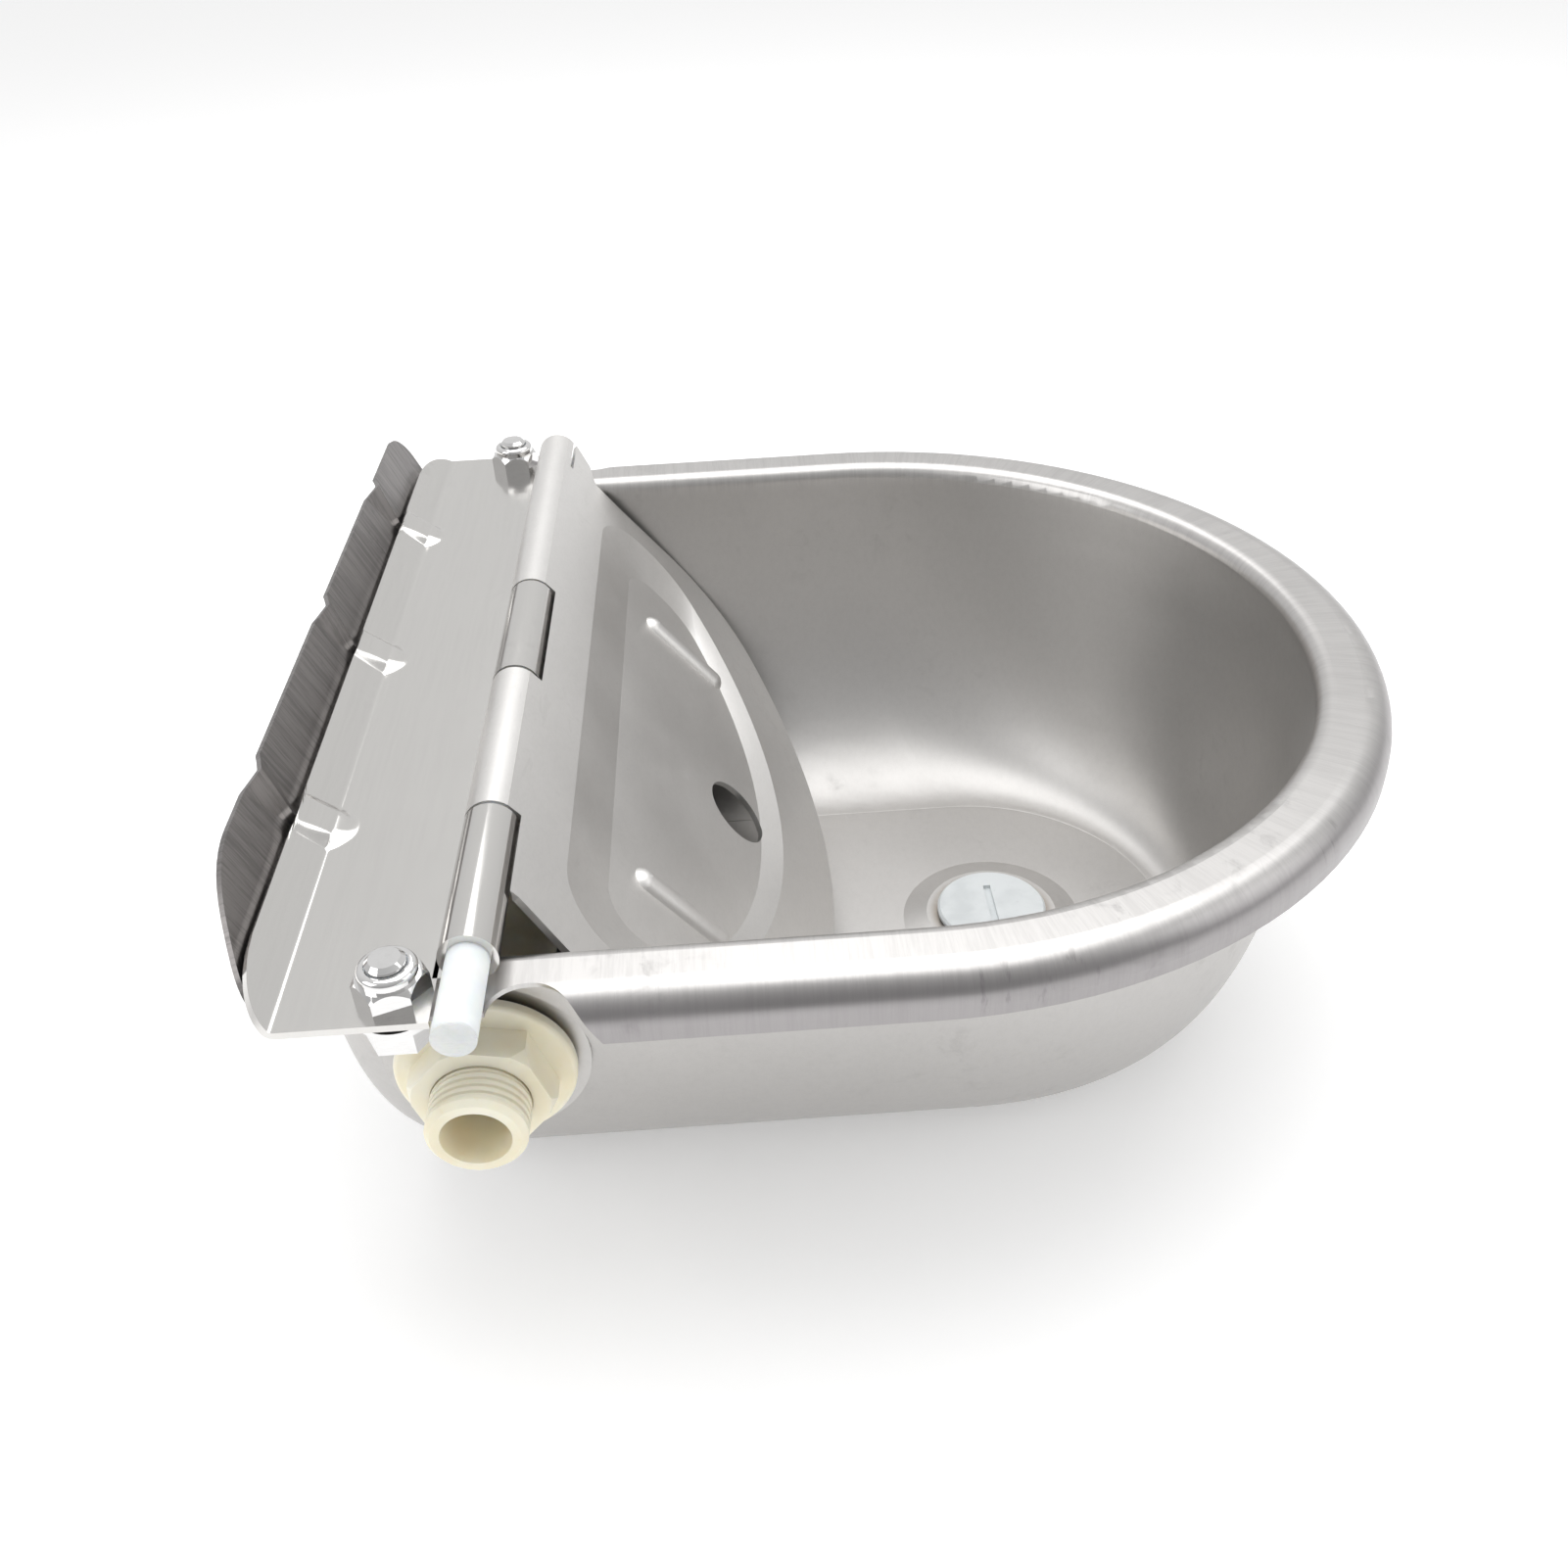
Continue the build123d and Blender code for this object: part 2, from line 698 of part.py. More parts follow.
def make_deck_bolt(y):
    """Bolt put up from under the ear: hexagon head, shank and rounded tip."""
    seat = rim_top - bowl_sheet - washer_thickness
    tip = rim_top + plate_sheet + nut_height + bolt_tip
    head = hexagon_along("Z", nut_width, seat - bolt_head_height, seat, (bolt_x, y))
    shank = cylinder_along("Z", bolt_size / 2, seat - 0.1, tip, (bolt_x, y))
    return head + chamfer(shank.edges().sort_by(Axis.Z)[-1], 0.9)


def make_washer(y):
    """Plain washer between the bolt head and the ear."""
    seat = rim_top - bowl_sheet - washer_thickness
    disc = cylinder_along("Z", washer_diameter / 2, seat, seat + washer_thickness, (bolt_x, y))
    return disc - cylinder_along("Z", bolt_size / 2 + 0.3, seat - 1, seat + 4, (bolt_x, y))


def make_lock_nut(y):
    """Lock nut: chamfered hexagon below and a round collar that holds the nylon ring."""
    base = rim_top + plate_sheet
    at = (bolt_x, y)
    nut = hexagon_along("Z", nut_width, base, base + nut_hex_height, at, 10)
    cone = Pos(bolt_x, y, base + nut_hex_height / 2) * Cone(nut_width * 0.78, nut_width * 0.5, nut_hex_height)
    nut &= cone + cylinder_along("Z", nut_width * 0.62, base, base + nut_hex_height * 0.72, at)
    collar = cylinder_along("Z", nut_width * 0.46, base, base + nut_height, at)
    nut += fillet(collar.edges().sort_by(Axis.Z)[-1], 1.3)
    nut -= cylinder_along("Z", bolt_size / 2 + running_fit, base - 1, base + 20, at)
    seat_start = base + nut_hex_height + 0.3
    ring_seat = cylinder_along("Z", nut_width * 0.37, seat_start, base + nut_height - 0.5, at)
    mouth = cylinder_along("Z", nut_width * 0.37 - 0.5, base + nut_hex_height, base + 20, at)
    return nut - ring_seat - mouth


def make_nylon_ring(y):
    """Nylon ring inside the collar of a lock nut."""
    base = rim_top + plate_sheet
    low = base + nut_hex_height + 0.3
    high = base + nut_height - 0.5
    ring = cylinder_along("Z", nut_width * 0.37, low, high, (bolt_x, y))
    return ring - cylinder_along("Z", bolt_size / 2 + running_fit, low - 1, high + 1, (bolt_x, y))


def bolt_pair(maker):
    """The same fastener at both ends of the deck plate."""
    return Compound(children=[maker(-bolt_y), maker(bolt_y)])


inlet_axis = (inlet_x, inlet_z)
inner_flat = flat_y + bowl_sheet


def make_valve_body():
    """Inlet tube, flange and barrel in one moulding, with a window and two pivot ears."""
    flange_start = inner_flat + gasket_thickness
    tube = cylinder_along("Y", thread_radius, inlet_end, flange_start + 0.1, inlet_axis)
    tube = chamfer(tube.edges().filter_by(GeomType.CIRCLE).sort_by(Axis.Y)[0], inlet_chamfer)
    relief_start = inlet_end + inlet_chamfer + free_thread
    relief_end = relief_start + thread_relief_width
    relief = cylinder_along("Y", thread_radius + 1, relief_start, relief_end, inlet_axis)
    tube -= relief - cylinder_along("Y", thread_radius - thread_relief, inlet_end, flange_start, inlet_axis)
    flange = cylinder_along("Y", body_flange_radius, flange_start, flange_start + body_flange, inlet_axis)
    flange = fillet(flange.edges().filter_by(GeomType.CIRCLE).sort_by(Axis.Y)[-1], 1.0)
    body = tube + flange
    body += cylinder_along("Y", barrel_radius, flange_start, barrel_end, inlet_axis)
    for side in (-1, 1):
        inner = inlet_x + side * ear_inner
        outer = inlet_x + side * (ear_inner + ear_thickness)
        low, high = min(inner, outer), max(inner, outer)
        ear = box_between(low, high, barrel_end - 8, pivot_y, inlet_z - pivot_drop - 5, inlet_z - 2)
        nose = cylinder_along("X", 5.0, low, high, (pivot_y, inlet_z - pivot_drop))
        body += ear + nose
    body -= cylinder_along("Y", inlet_bore, inlet_end - 1, seat_y - 6, inlet_axis)
    body -= cylinder_along("Y", seat_radius, seat_y - 7, seat_y, inlet_axis)
    body -= cylinder_along("Y", guide_radius, seat_y, barrel_end + 12, inlet_axis)
    window = box_between(inlet_x - 20, inlet_x + 20, seat_y + 0.6, seat_y + 7.5, inlet_z - 20, inlet_z - 3)
    body -= window
    body -= box_between(inlet_x - ear_inner, inlet_x + ear_inner, barrel_end - 9, barrel_end + 14,
                        inlet_z - 20, inlet_z - guide_radius + 2)
    body -= cylinder_along("X", pin_radius + running_fit, inlet_x - 20, inlet_x + 20,
                           (pivot_y, inlet_z - pivot_drop))
    return body


def make_inlet_nut():
    """Plastic flange nut that clamps the valve to the bowl wall from outside."""
    face = flat_y - gasket_thickness
    flange = cylinder_along("Y", inlet_nut_radius, face - inlet_nut_flange, face, inlet_axis)
    flange = fillet(flange.edges().filter_by(GeomType.CIRCLE).sort_by(Axis.Y)[0], 1.1)
    hexagon = hexagon_along("Y", inlet_nut_width, face - inlet_nut_height, face - 1, inlet_axis, 12)
    bevel = Plane((inlet_x, face - inlet_nut_height / 2, inlet_z), x_dir=(1, 0, 0), z_dir=(0, 1, 0))
    bevel = bevel * Cone(inlet_nut_width * 0.53, inlet_nut_width * 0.7, inlet_nut_height)
    hexagon &= bevel
    return flange + hexagon - cylinder_along("Y", thread_radius + running_fit, -150, -90, inlet_axis)


def make_gasket(start):
    """Rubber ring on the inlet tube."""
    ring = cylinder_along("Y", gasket_radius, start, start + gasket_thickness, inlet_axis)
    return ring - cylinder_along("Y", thread_radius + 0.35, start - 1, start + 5, inlet_axis)


def make_seat():
    """Nozzle seat pressed into the barrel, with a narrow raised lip."""
    seat = cylinder_along("Y", seat_radius, seat_y - seat_length + 1, seat_y, inlet_axis)
    seat += cylinder_along("Y", seat_bore + 1.1, seat_y - 1, seat_y + seat_lip, inlet_axis)
    lip_edges = seat.edges().filter_by(GeomType.CIRCLE).sort_by(Axis.Y)[-1]
    seat = chamfer(lip_edges, 0.5)
    return seat - cylinder_along("Y", seat_bore, seat_y - 20, seat_y + 20, inlet_axis)


seal_face = seat_y + seat_lip + plunger_travel + 0.2


def make_plunger():
    """Plunger that slides in the barrel; its front is cupped to hold the rubber seal."""
    radius = guide_radius - running_fit
    end = pivot_y - cam_radius - shape_gap
    plunger = cylinder_along("Y", radius, seal_face + 0.6, end - 4, inlet_axis)
    plunger += cylinder_along("Y", ear_inner - 1.2, end - 5, end, inlet_axis)
    return plunger - cylinder_along("Y", seal_radius, seal_face, seal_face + seal_thickness, inlet_axis)


def make_seal():
    """Rubber disc that closes the nozzle."""
    return cylinder_along("Y", seal_radius, seal_face, seal_face + seal_thickness, inlet_axis)


arm_bottom = inlet_z - pivot_drop - arm_drop
arm_top = arm_bottom + arm_height


def make_lever():
    """Float lever: a hub on the pin, a short cam arm up to the plunger and a long ribbed arm."""
    pivot_z = inlet_z - pivot_drop
    half = lever_width / 2
    low, high = inlet_x - half, inlet_x + half
    hub = cylinder_along("X", 5.0, low, high, (pivot_y, pivot_z))
    cam = box_between(low, high, pivot_y - cam_radius, pivot_y + cam_radius, pivot_z, inlet_z)
    cam += cylinder_along("X", cam_radius, low, high, (pivot_y, inlet_z))
    arm = box_between(low, high, pivot_y, lever_tip, arm_bottom, arm_top)
    trough_end = float_centre_y - 1.5 * float_boss_radius
    arm -= box_between(low + 1.8, high - 1.8, pivot_y + 9, trough_end, arm_bottom + 2.2, arm_top + 5)
    lever = hub + cam + arm
    boss = cylinder_along("Z", float_boss_radius, arm_bottom, arm_top, (inlet_x, float_centre_y))
    lever += boss
    lever -= cylinder_along("X", pin_radius + running_fit, inlet_x - 20, inlet_x + 20, (pivot_y, pivot_z))
    return lever - cylinder_along("Z", float_bolt_radius + running_fit, 0, 120, (inlet_x, float_centre_y))


pin_reach = ear_inner + ear_thickness


def make_pin():
    """Pivot pin with a round head and a groove for its clip."""
    at = (pivot_y, inlet_z - pivot_drop)
    pin = cylinder_along("X", pin_radius, inlet_x - pin_reach - 2.2, inlet_x + pin_reach + 3.4, at)
    head = cylinder_along("X", 3.6, inlet_x - pin_reach - 2.2, inlet_x - pin_reach, at)
    groove_start = inlet_x + pin_reach + 0.6
    groove = cylinder_along("X", 6, groove_start, groove_start + 1.0, at)
    groove -= cylinder_along("X", pin_radius - 0.5, groove_start - 1, groove_start + 3, at)
    return pin + fillet(head.edges().filter_by(GeomType.CIRCLE).sort_by(Axis.X)[0], 0.7) - groove


def make_clip():
    """Open ring clip in the groove of the pin."""
    at = (pivot_y, inlet_z - pivot_drop)
    start = inlet_x + pin_reach + 0.7
    clip = cylinder_along("X", 4.2, start, start + 0.8, at)
    clip -= cylinder_along("X", pin_radius - 0.5, start - 1, start + 2, at)
    mouth = box_between(start - 1, start + 2, pivot_y - 1.2, pivot_y + 1.2, at[1] - 6, at[1])
    return clip - mouth


float_top = arm_bottom - float_gap
float_z = float_top - float_radius


def make_float():
    """Float: a rounded drum along the lever with a groove round it and a boss on top."""
    start = float_centre_y - float_length / 2
    drum = cylinder_along("Y", float_radius, start, start + float_length, (inlet_x, float_z))
    drum = fillet(drum.edges().filter_by(GeomType.CIRCLE), float_end_radius)
    drum += cylinder_along("Z", float_boss_radius, float_z, float_top + 1.5, (inlet_x, float_centre_y))
    at = (inlet_x, float_z)
    groove_start = float_centre_y - float_groove_at
    groove_end = groove_start + float_groove_width
    groove = cylinder_along("Y", float_radius + float_groove_depth, groove_start, groove_end, at)
    groove -= cylinder_along("Y", float_radius - float_groove_depth, groove_start - 1, groove_end + 1, at)
    bolt_end = float_top - float_thread_depth
    hole = cylinder_along("Z", float_bolt_radius, bolt_end, float_top + 5, (inlet_x, float_centre_y))
    return drum - groove - hole


def make_float_bolt():
    """Adjusting screw that fixes the float at its height under the lever."""
    at = (inlet_x, float_centre_y)
    bolt_end = float_top - float_thread_depth
    screw = cylinder_along("Z", float_bolt_radius, bolt_end, arm_top + float_thread_rise, at)
    return chamfer(screw.edges().filter_by(GeomType.CIRCLE).sort_by(Axis.Z)[-1], 0.6)


def make_float_nuts():
    """Two nuts that clamp the lever on the adjusting screw."""
    at = (inlet_x, float_centre_y)
    nuts = []
    for low in (arm_top, arm_bottom - 2.2):
        nut = hexagon_along("Z", 10, low, low + 2.2, at, 15)
        nuts.append(nut - cylinder_along("Z", float_bolt_radius, low - 1, low + 5, at))
    return Compound(children=nuts)


drain_top = bowl_sheet + drain_rise


def make_plug():
    """Drain plug: a flat head with a screwdriver slot and a threaded stem."""
    at = (drain_x, 0)
    under = drain_top + drain_gasket_thickness
    head = cylinder_along("Z", plug_radius, under, under + plug_head, at)
    head = chamfer(head.edges().filter_by(GeomType.CIRCLE).sort_by(Axis.Z)[-1], 0.7)
    stem = cylinder_along("Z", plug_thread_radius, drain_rise - drain_nut_thickness, under + 0.1, at)
    slot = Pos(drain_x, 0, under + plug_head) * Box(plug_slot_width, plug_slot_length, 2 * plug_slot_depth)
    return head + stem - slot


def make_drain_gasket():
    """Flat rubber ring between the plug head and the raised seat."""
    ring = cylinder_along("Z", plug_radius - 1.2, drain_top, drain_top + drain_gasket_thickness, (drain_x, 0))
    return ring - cylinder_along("Z", plug_thread_radius + 0.4, drain_top - 1, drain_top + 5, (drain_x, 0))


def make_drain_nut():
    """Thin nut inside the hollow under the floor."""
    low = drain_rise - drain_nut_thickness
    nut = hexagon_along("Z", drain_nut_width, low, drain_rise, (drain_x, 0))
    return nut - cylinder_along("Z", plug_thread_radius + running_fit, low - 1, drain_rise + 1, (drain_x, 0))


nodes = {
    "bowl": make_bowl(),
    "deck_plate": make_deck(),
    "guard_cover": make_cover(),
    "hinge_rod": make_rod(),
    "deck_bolts": bolt_pair(make_deck_bolt),
    "deck_washers": bolt_pair(make_washer),
    "lock_nuts": bolt_pair(make_lock_nut),
    "nylon_rings": bolt_pair(make_nylon_ring),
    "valve_body": make_valve_body(),
    "inlet_nut": make_inlet_nut(),
    "outer_gasket": make_gasket(flat_y - gasket_thickness),
    "inner_gasket": make_gasket(inner_flat),
    "nozzle_seat": make_seat(),
    "plunger": make_plunger(),
    "plunger_seal": make_seal(),
    "float_lever": make_lever(),
    "lever_pin": make_pin(),
    "pin_clip": make_clip(),
    "float": make_float(),
    "float_bolt": make_float_bolt(),
    "float_nuts": make_float_nuts(),
    "drain_plug": make_plug(),
    "drain_gasket": make_drain_gasket(),
    "drain_nut": make_drain_nut(),
}

for name, shape in nodes.items():
    export_step(shape, os.path.join("parts", name + ".step"))
    print(name, round(shape.volume / 1000, 2), "cm3")
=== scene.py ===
import math
import json
import bpy
import numpy as np
from mathutils import Matrix, Vector


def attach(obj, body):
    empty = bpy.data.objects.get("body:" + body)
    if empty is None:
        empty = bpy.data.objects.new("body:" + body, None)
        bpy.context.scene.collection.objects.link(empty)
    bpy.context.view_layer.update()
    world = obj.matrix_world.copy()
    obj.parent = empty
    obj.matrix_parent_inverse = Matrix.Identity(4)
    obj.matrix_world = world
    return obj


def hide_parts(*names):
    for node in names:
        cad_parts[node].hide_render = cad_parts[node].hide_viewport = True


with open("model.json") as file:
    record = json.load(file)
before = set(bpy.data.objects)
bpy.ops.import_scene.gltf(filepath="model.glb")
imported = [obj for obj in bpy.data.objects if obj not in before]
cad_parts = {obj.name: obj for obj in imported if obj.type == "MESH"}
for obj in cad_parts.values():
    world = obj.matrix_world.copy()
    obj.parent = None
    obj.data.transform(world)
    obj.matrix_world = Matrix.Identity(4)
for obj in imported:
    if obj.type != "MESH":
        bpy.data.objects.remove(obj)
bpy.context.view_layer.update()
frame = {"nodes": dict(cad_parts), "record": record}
print("frame loaded:", len(frame["nodes"]), "nodes")

# camera: where it stands and how it is turned, in the frame of the part
cameraView = {
    "place": (-0.0307, -0.33605, 0.29522),
    "turnAside": 1.43,      # degrees towards +X
    "lookDown": 35.48,      # degrees below level
    "roll": -2.95,
    "lens": 33.63,          # millimetres, on the sensor below
    "sensor": 36,
    "nearest": 0.01,
}


def aimCamera(view):
    side, down, roll = (math.radians(view[key]) for key in ("turnAside", "lookDown", "roll"))
    level = math.cos(down)
    forward = Vector((math.sin(side) * level, math.cos(side) * level, -math.sin(down)))
    right = Vector((math.cos(side), -math.sin(side), 0))
    up = right.cross(forward)
    rolledRight = right * math.cos(roll) + up * math.sin(roll)
    rolledUp = up * math.cos(roll) - right * math.sin(roll)
    data = bpy.data.cameras.new("viewCamera")
    data.lens = view["lens"]
    data.sensor_width = view["sensor"]
    data.clip_start = view["nearest"]
    camera = bpy.data.objects.new("viewCamera", data)
    turn = Matrix((rolledRight, rolledUp, -forward)).transposed().to_4x4()
    camera.matrix_world = Matrix.Translation(view["place"]) @ turn
    bpy.context.collection.objects.link(camera)
    bpy.context.scene.camera = camera


aimCamera(cameraView)
bpy.context.scene.view_settings.view_transform = "Standard"
print("camera placed")


# helpers that write shader nodes
def newNode(tree, kind, inputs=(), **settings):
    made = tree.nodes.new(kind)
    for key, value in settings.items():
        setattr(made, key, value)
    for key, value in dict(inputs).items():
        if isinstance(value, bpy.types.NodeSocket):
            tree.links.new(value, made.inputs[key])
        else:
            made.inputs[key].default_value = value
    return made


def calc(tree, operation, first, second=0.0, third=0.0):
    ends = {0: first, 1: second, 2: third}
    return newNode(tree, "ShaderNodeMath", ends, operation=operation).outputs[0]


def product(tree, first, second):
    return calc(tree, "MULTIPLY", first, second)


def scaled(tree, place, factors):
    ends = {0: place, 1: factors}
    return newNode(tree, "ShaderNodeVectorMath", ends, operation="MULTIPLY").outputs[0]


def smoothStep(tree, value, low, high, start=0.0, end=1.0):
    ends = {"Value": value, "From Min": low, "From Max": high, "To Min": start, "To Max": end}
    step = newNode(tree, "ShaderNodeMapRange", ends, interpolation_type="SMOOTHSTEP")
    return step.outputs["Result"]


def blendColor(tree, share, first, second):
    ends = {0: share, 6: first, 7: second}
    return newNode(tree, "ShaderNodeMix", ends, data_type="RGBA").outputs[2]


def blendValue(tree, share, first, second):
    ends = {0: share, 2: first, 3: second}
    return newNode(tree, "ShaderNodeMix", ends, data_type="FLOAT").outputs[0]


def splitPlace(tree, place):
    return newNode(tree, "ShaderNodeSeparateXYZ", {0: place}).outputs


def joinPlace(tree, x, y, z):
    return newNode(tree, "ShaderNodeCombineXYZ", {0: x, 1: y, 2: z}).outputs[0]


def noiseAt(tree, place, scale, detail, roughness, distortion=0.0):
    ends = {"Vector": place, "Scale": scale, "Detail": detail, "Roughness": roughness,
            "Distortion": distortion}
    return newNode(tree, "ShaderNodeTexNoise", ends).outputs[0]


def makeGroup(name, inputs, outputs, build):
    group = bpy.data.node_groups.new(name, "ShaderNodeTree")
    for socketName, value in inputs.items():
        kind = "NodeSocketFloat"
        if isinstance(value, tuple):
            kind = "NodeSocketVector" if len(value) == 3 else "NodeSocketColor"
        made = group.interface.new_socket(name=socketName, in_out="INPUT", socket_type=kind)
        made.default_value = value
    for socketName, kind in outputs.items():
        kind = "NodeSocket" + kind
        group.interface.new_socket(name=socketName, in_out="OUTPUT", socket_type=kind)
    start = group.nodes.new("NodeGroupInput")
    end = group.nodes.new("NodeGroupOutput")
    for key, socket in build(group, start.outputs).items():
        group.links.new(socket, end.inputs[key])
    return group


studio = {
    "skyBase": 0.56,        # brightness of the room: this much level with the part,
    "skyBack": 0.20,        # more towards the back,
    "skyTop": 0.18,         # and more towards the top
    "skyLowest": 0.12,
    "floorGrey": (0.93, 0.93, 0.93, 1),
    "floorRough": 0.9,
    "floorGlow": 0.26,
    "floorSize": 6.0,
    "lampTarget": (0, 0, 0.05),
    "lamps": {              # place, size and power of each soft lamp
        "topSoft": ((0.1, 0.25, 1.1), 1.2, 7.5),
        "leftSoft": ((-1.0, -0.5, 0.8), 0.8, 3),
        "rightSoft": ((1.0, -0.3, 0.6), 0.7, 1.5),
    },
}


def makeWorld():
    world = bpy.data.worlds.new("studioWorld")
    world.use_nodes = True
    tree = world.node_tree
    direction = splitPlace(tree, newNode(tree, "ShaderNodeTexCoord").outputs["Generated"])
    back = calc(tree, "MULTIPLY_ADD", direction[1], studio["skyBack"], studio["skyBase"])
    both = calc(tree, "MULTIPLY_ADD", direction[2], studio["skyTop"], back)
    strength = calc(tree, "MAXIMUM", both, studio["skyLowest"])
    tree.links.new(strength, tree.nodes["Background"].inputs["Strength"])
    tree.nodes["Background"].inputs["Color"].default_value = (1, 1, 1, 1)
    bpy.context.scene.world = world


def areaLight(name, place, size, power):
    data = bpy.data.lights.new(name, "AREA")
    data.energy = power
    data.size = size
    lamp = bpy.data.objects.new(name, data)
    direction = Vector(studio["lampTarget"]) - Vector(place)
    turn = direction.to_track_quat("-Z", "Y").to_matrix().to_4x4()
    lamp.matrix_world = Matrix.Translation(place) @ turn
    bpy.context.collection.objects.link(lamp)


def makeFloor():
    half = studio["floorSize"] / 2
    corners = [(-half, -half, 0), (half, -half, 0), (half, half, 0), (-half, half, 0)]
    mesh = bpy.data.meshes.new("studioFloor")
    mesh.from_pydata(corners, [], [(0, 1, 2, 3)])
    floor = bpy.data.objects.new("studioFloor", mesh)
    bpy.context.collection.objects.link(floor)
    material = bpy.data.materials.new("floorPaper")
    material.use_nodes = True
    shader = material.node_tree.nodes["Principled BSDF"]
    shader.inputs["Base Color"].default_value = studio["floorGrey"]
    shader.inputs["Roughness"].default_value = studio["floorRough"]
    shader.inputs["Emission Color"].default_value = studio["floorGrey"]
    shader.inputs["Emission Strength"].default_value = studio["floorGlow"]
    mesh.materials.append(material)


makeWorld()
makeFloor()
for lampName, (lampPlace, lampSize, lampPower) in studio["lamps"].items():
    areaLight(lampName, lampPlace, lampSize, lampPower)
print("light and floor ready")


# surface of worked steel: fine strokes, grey smudges and thin scratches over one tone; a name that
# ends in Noise holds scale, detail, roughness and distortion in that order, without the scale for
# the strokes, and one that ends in Step holds where a soft step starts and ends
steelPattern = {
    "fineNoise": (5.0, 0.7), "fineShare": 0.6,
    "wideRatio": 0.22, "wideNoise": (3.0, 0.6), "wideShare": 0.4, "strokeStep": (0.42, 0.62),
    "cloudNoise": (22.0, 3.0, 0.5),
    "spotNoise": (140.0, 5.0, 0.62, 0.6), "spotStep": (0.52, 0.74), "spotCloudStep": (0.46, 0.62),
    "hairStretch": (0.62, 0.09, 0.35), "hairNoise": (900.0, 2.0, 0.5, 0.9),
    "hairStep": (0.67, 0.72), "hairCloudStep": (0.5, 0.64),
    "cloudRough": 0.22, "smudgeRough": 0.08, "strokeRough": 0.12, "scratchDepth": -0.5,
}


def steelNodes(tree, given):
    p = steelPattern
    stretch = joinPlace(tree, 1.0, given["Stroke Ratio"], given["Stroke Ratio"])
    strokes = scaled(tree, given["Stroke Place"], stretch)
    fine = noiseAt(tree, strokes, given["Strokes"], *p["fineNoise"])
    wideScale = product(tree, given["Strokes"], p["wideRatio"])
    wide = noiseAt(tree, strokes, wideScale, *p["wideNoise"])
    grain = calc(tree, "MULTIPLY_ADD", fine, p["fineShare"], product(tree, wide, p["wideShare"]))
    darkStroke = smoothStep(tree, grain, *p["strokeStep"])
    cloud = noiseAt(tree, given["Place"], *p["cloudNoise"])
    spot = smoothStep(tree, noiseAt(tree, given["Place"], *p["spotNoise"]), *p["spotStep"])
    smudge = product(tree, spot, smoothStep(tree, cloud, *p["spotCloudStep"]))
    hairPlace = scaled(tree, given["Place"], p["hairStretch"])
    hair = smoothStep(tree, noiseAt(tree, hairPlace, *p["hairNoise"]), *p["hairStep"])
    scratch = product(tree, hair, smoothStep(tree, cloud, *p["hairCloudStep"]))
    shade = product(tree, darkStroke, given["Stroke Share"])
    shade = calc(tree, "MULTIPLY_ADD", smudge, given["Smudge Share"], shade)
    shade = calc(tree, "MULTIPLY_ADD", scratch, given["Scratch Share"], shade)
    color = blendColor(tree, calc(tree, "MINIMUM", shade, 1.0), given["Tone"], given["Dark Tone"])
    height = product(tree, grain, given["Stroke Share"])
    rough = calc(tree, "SUBTRACT", cloud, 0.5)
    rough = calc(tree, "MULTIPLY_ADD", rough, p["cloudRough"], given["Rough"])
    rough = calc(tree, "MULTIPLY_ADD", smudge, p["smudgeRough"], rough)
    rough = calc(tree, "MULTIPLY_ADD", height, p["strokeRough"], rough)
    deep = product(tree, given["Scratch Share"], p["scratchDepth"])
    height = calc(tree, "MULTIPLY_ADD", scratch, deep, height)
    return {"Color": color, "Roughness": rough, "Height": height}


steelGroup = makeGroup("workedSteel", {
    "Place": (0.0, 0.0, 0.0), "Stroke Place": (0.0, 0.0, 0.0), "Strokes": 1500.0,
    "Stroke Ratio": 0.05, "Stroke Share": 0.3, "Smudge Share": 0.2, "Scratch Share": 0.2,
    "Rough": 0.3,
    "Tone": (0.6, 0.6, 0.6, 1.0), "Dark Tone": (0.3, 0.3, 0.3, 1.0),
}, {"Color": "Color", "Roughness": "Float", "Height": "Float"}, steelNodes)


# place along and across the rim: straight along both sides, then round the front half circle;
# the two sides are set apart so that their strokes differ
rimTrack = {"centreX": 0.0022, "radius": 0.122, "setApart": 1.7}


def rimNodes(tree, given):
    x, y, z = splitPlace(tree, given["Place"])[:3]
    ahead = calc(tree, "SUBTRACT", x, rimTrack["centreX"])
    front = calc(tree, "MAXIMUM", ahead, 0.0)
    side = calc(tree, "ABSOLUTE", y)
    squares = calc(tree, "MULTIPLY_ADD", front, front, product(tree, y, y))
    across = calc(tree, "SQRT", squares)
    angle = calc(tree, "ARCTAN2", front, side)
    behind = calc(tree, "MINIMUM", ahead, 0.0)
    along = calc(tree, "MULTIPLY_ADD", angle, rimTrack["radius"], behind)
    along = calc(tree, "MULTIPLY_ADD", calc(tree, "SIGN", y), rimTrack["setApart"], along)
    return {"Rim Place": joinPlace(tree, along, across, z), "Across": across}


rimGroup = makeGroup("rimPlace", {"Place": (0.0, 0.0, 0.0)},
                     {"Rim Place": "Vector", "Across": "Float"}, rimNodes)

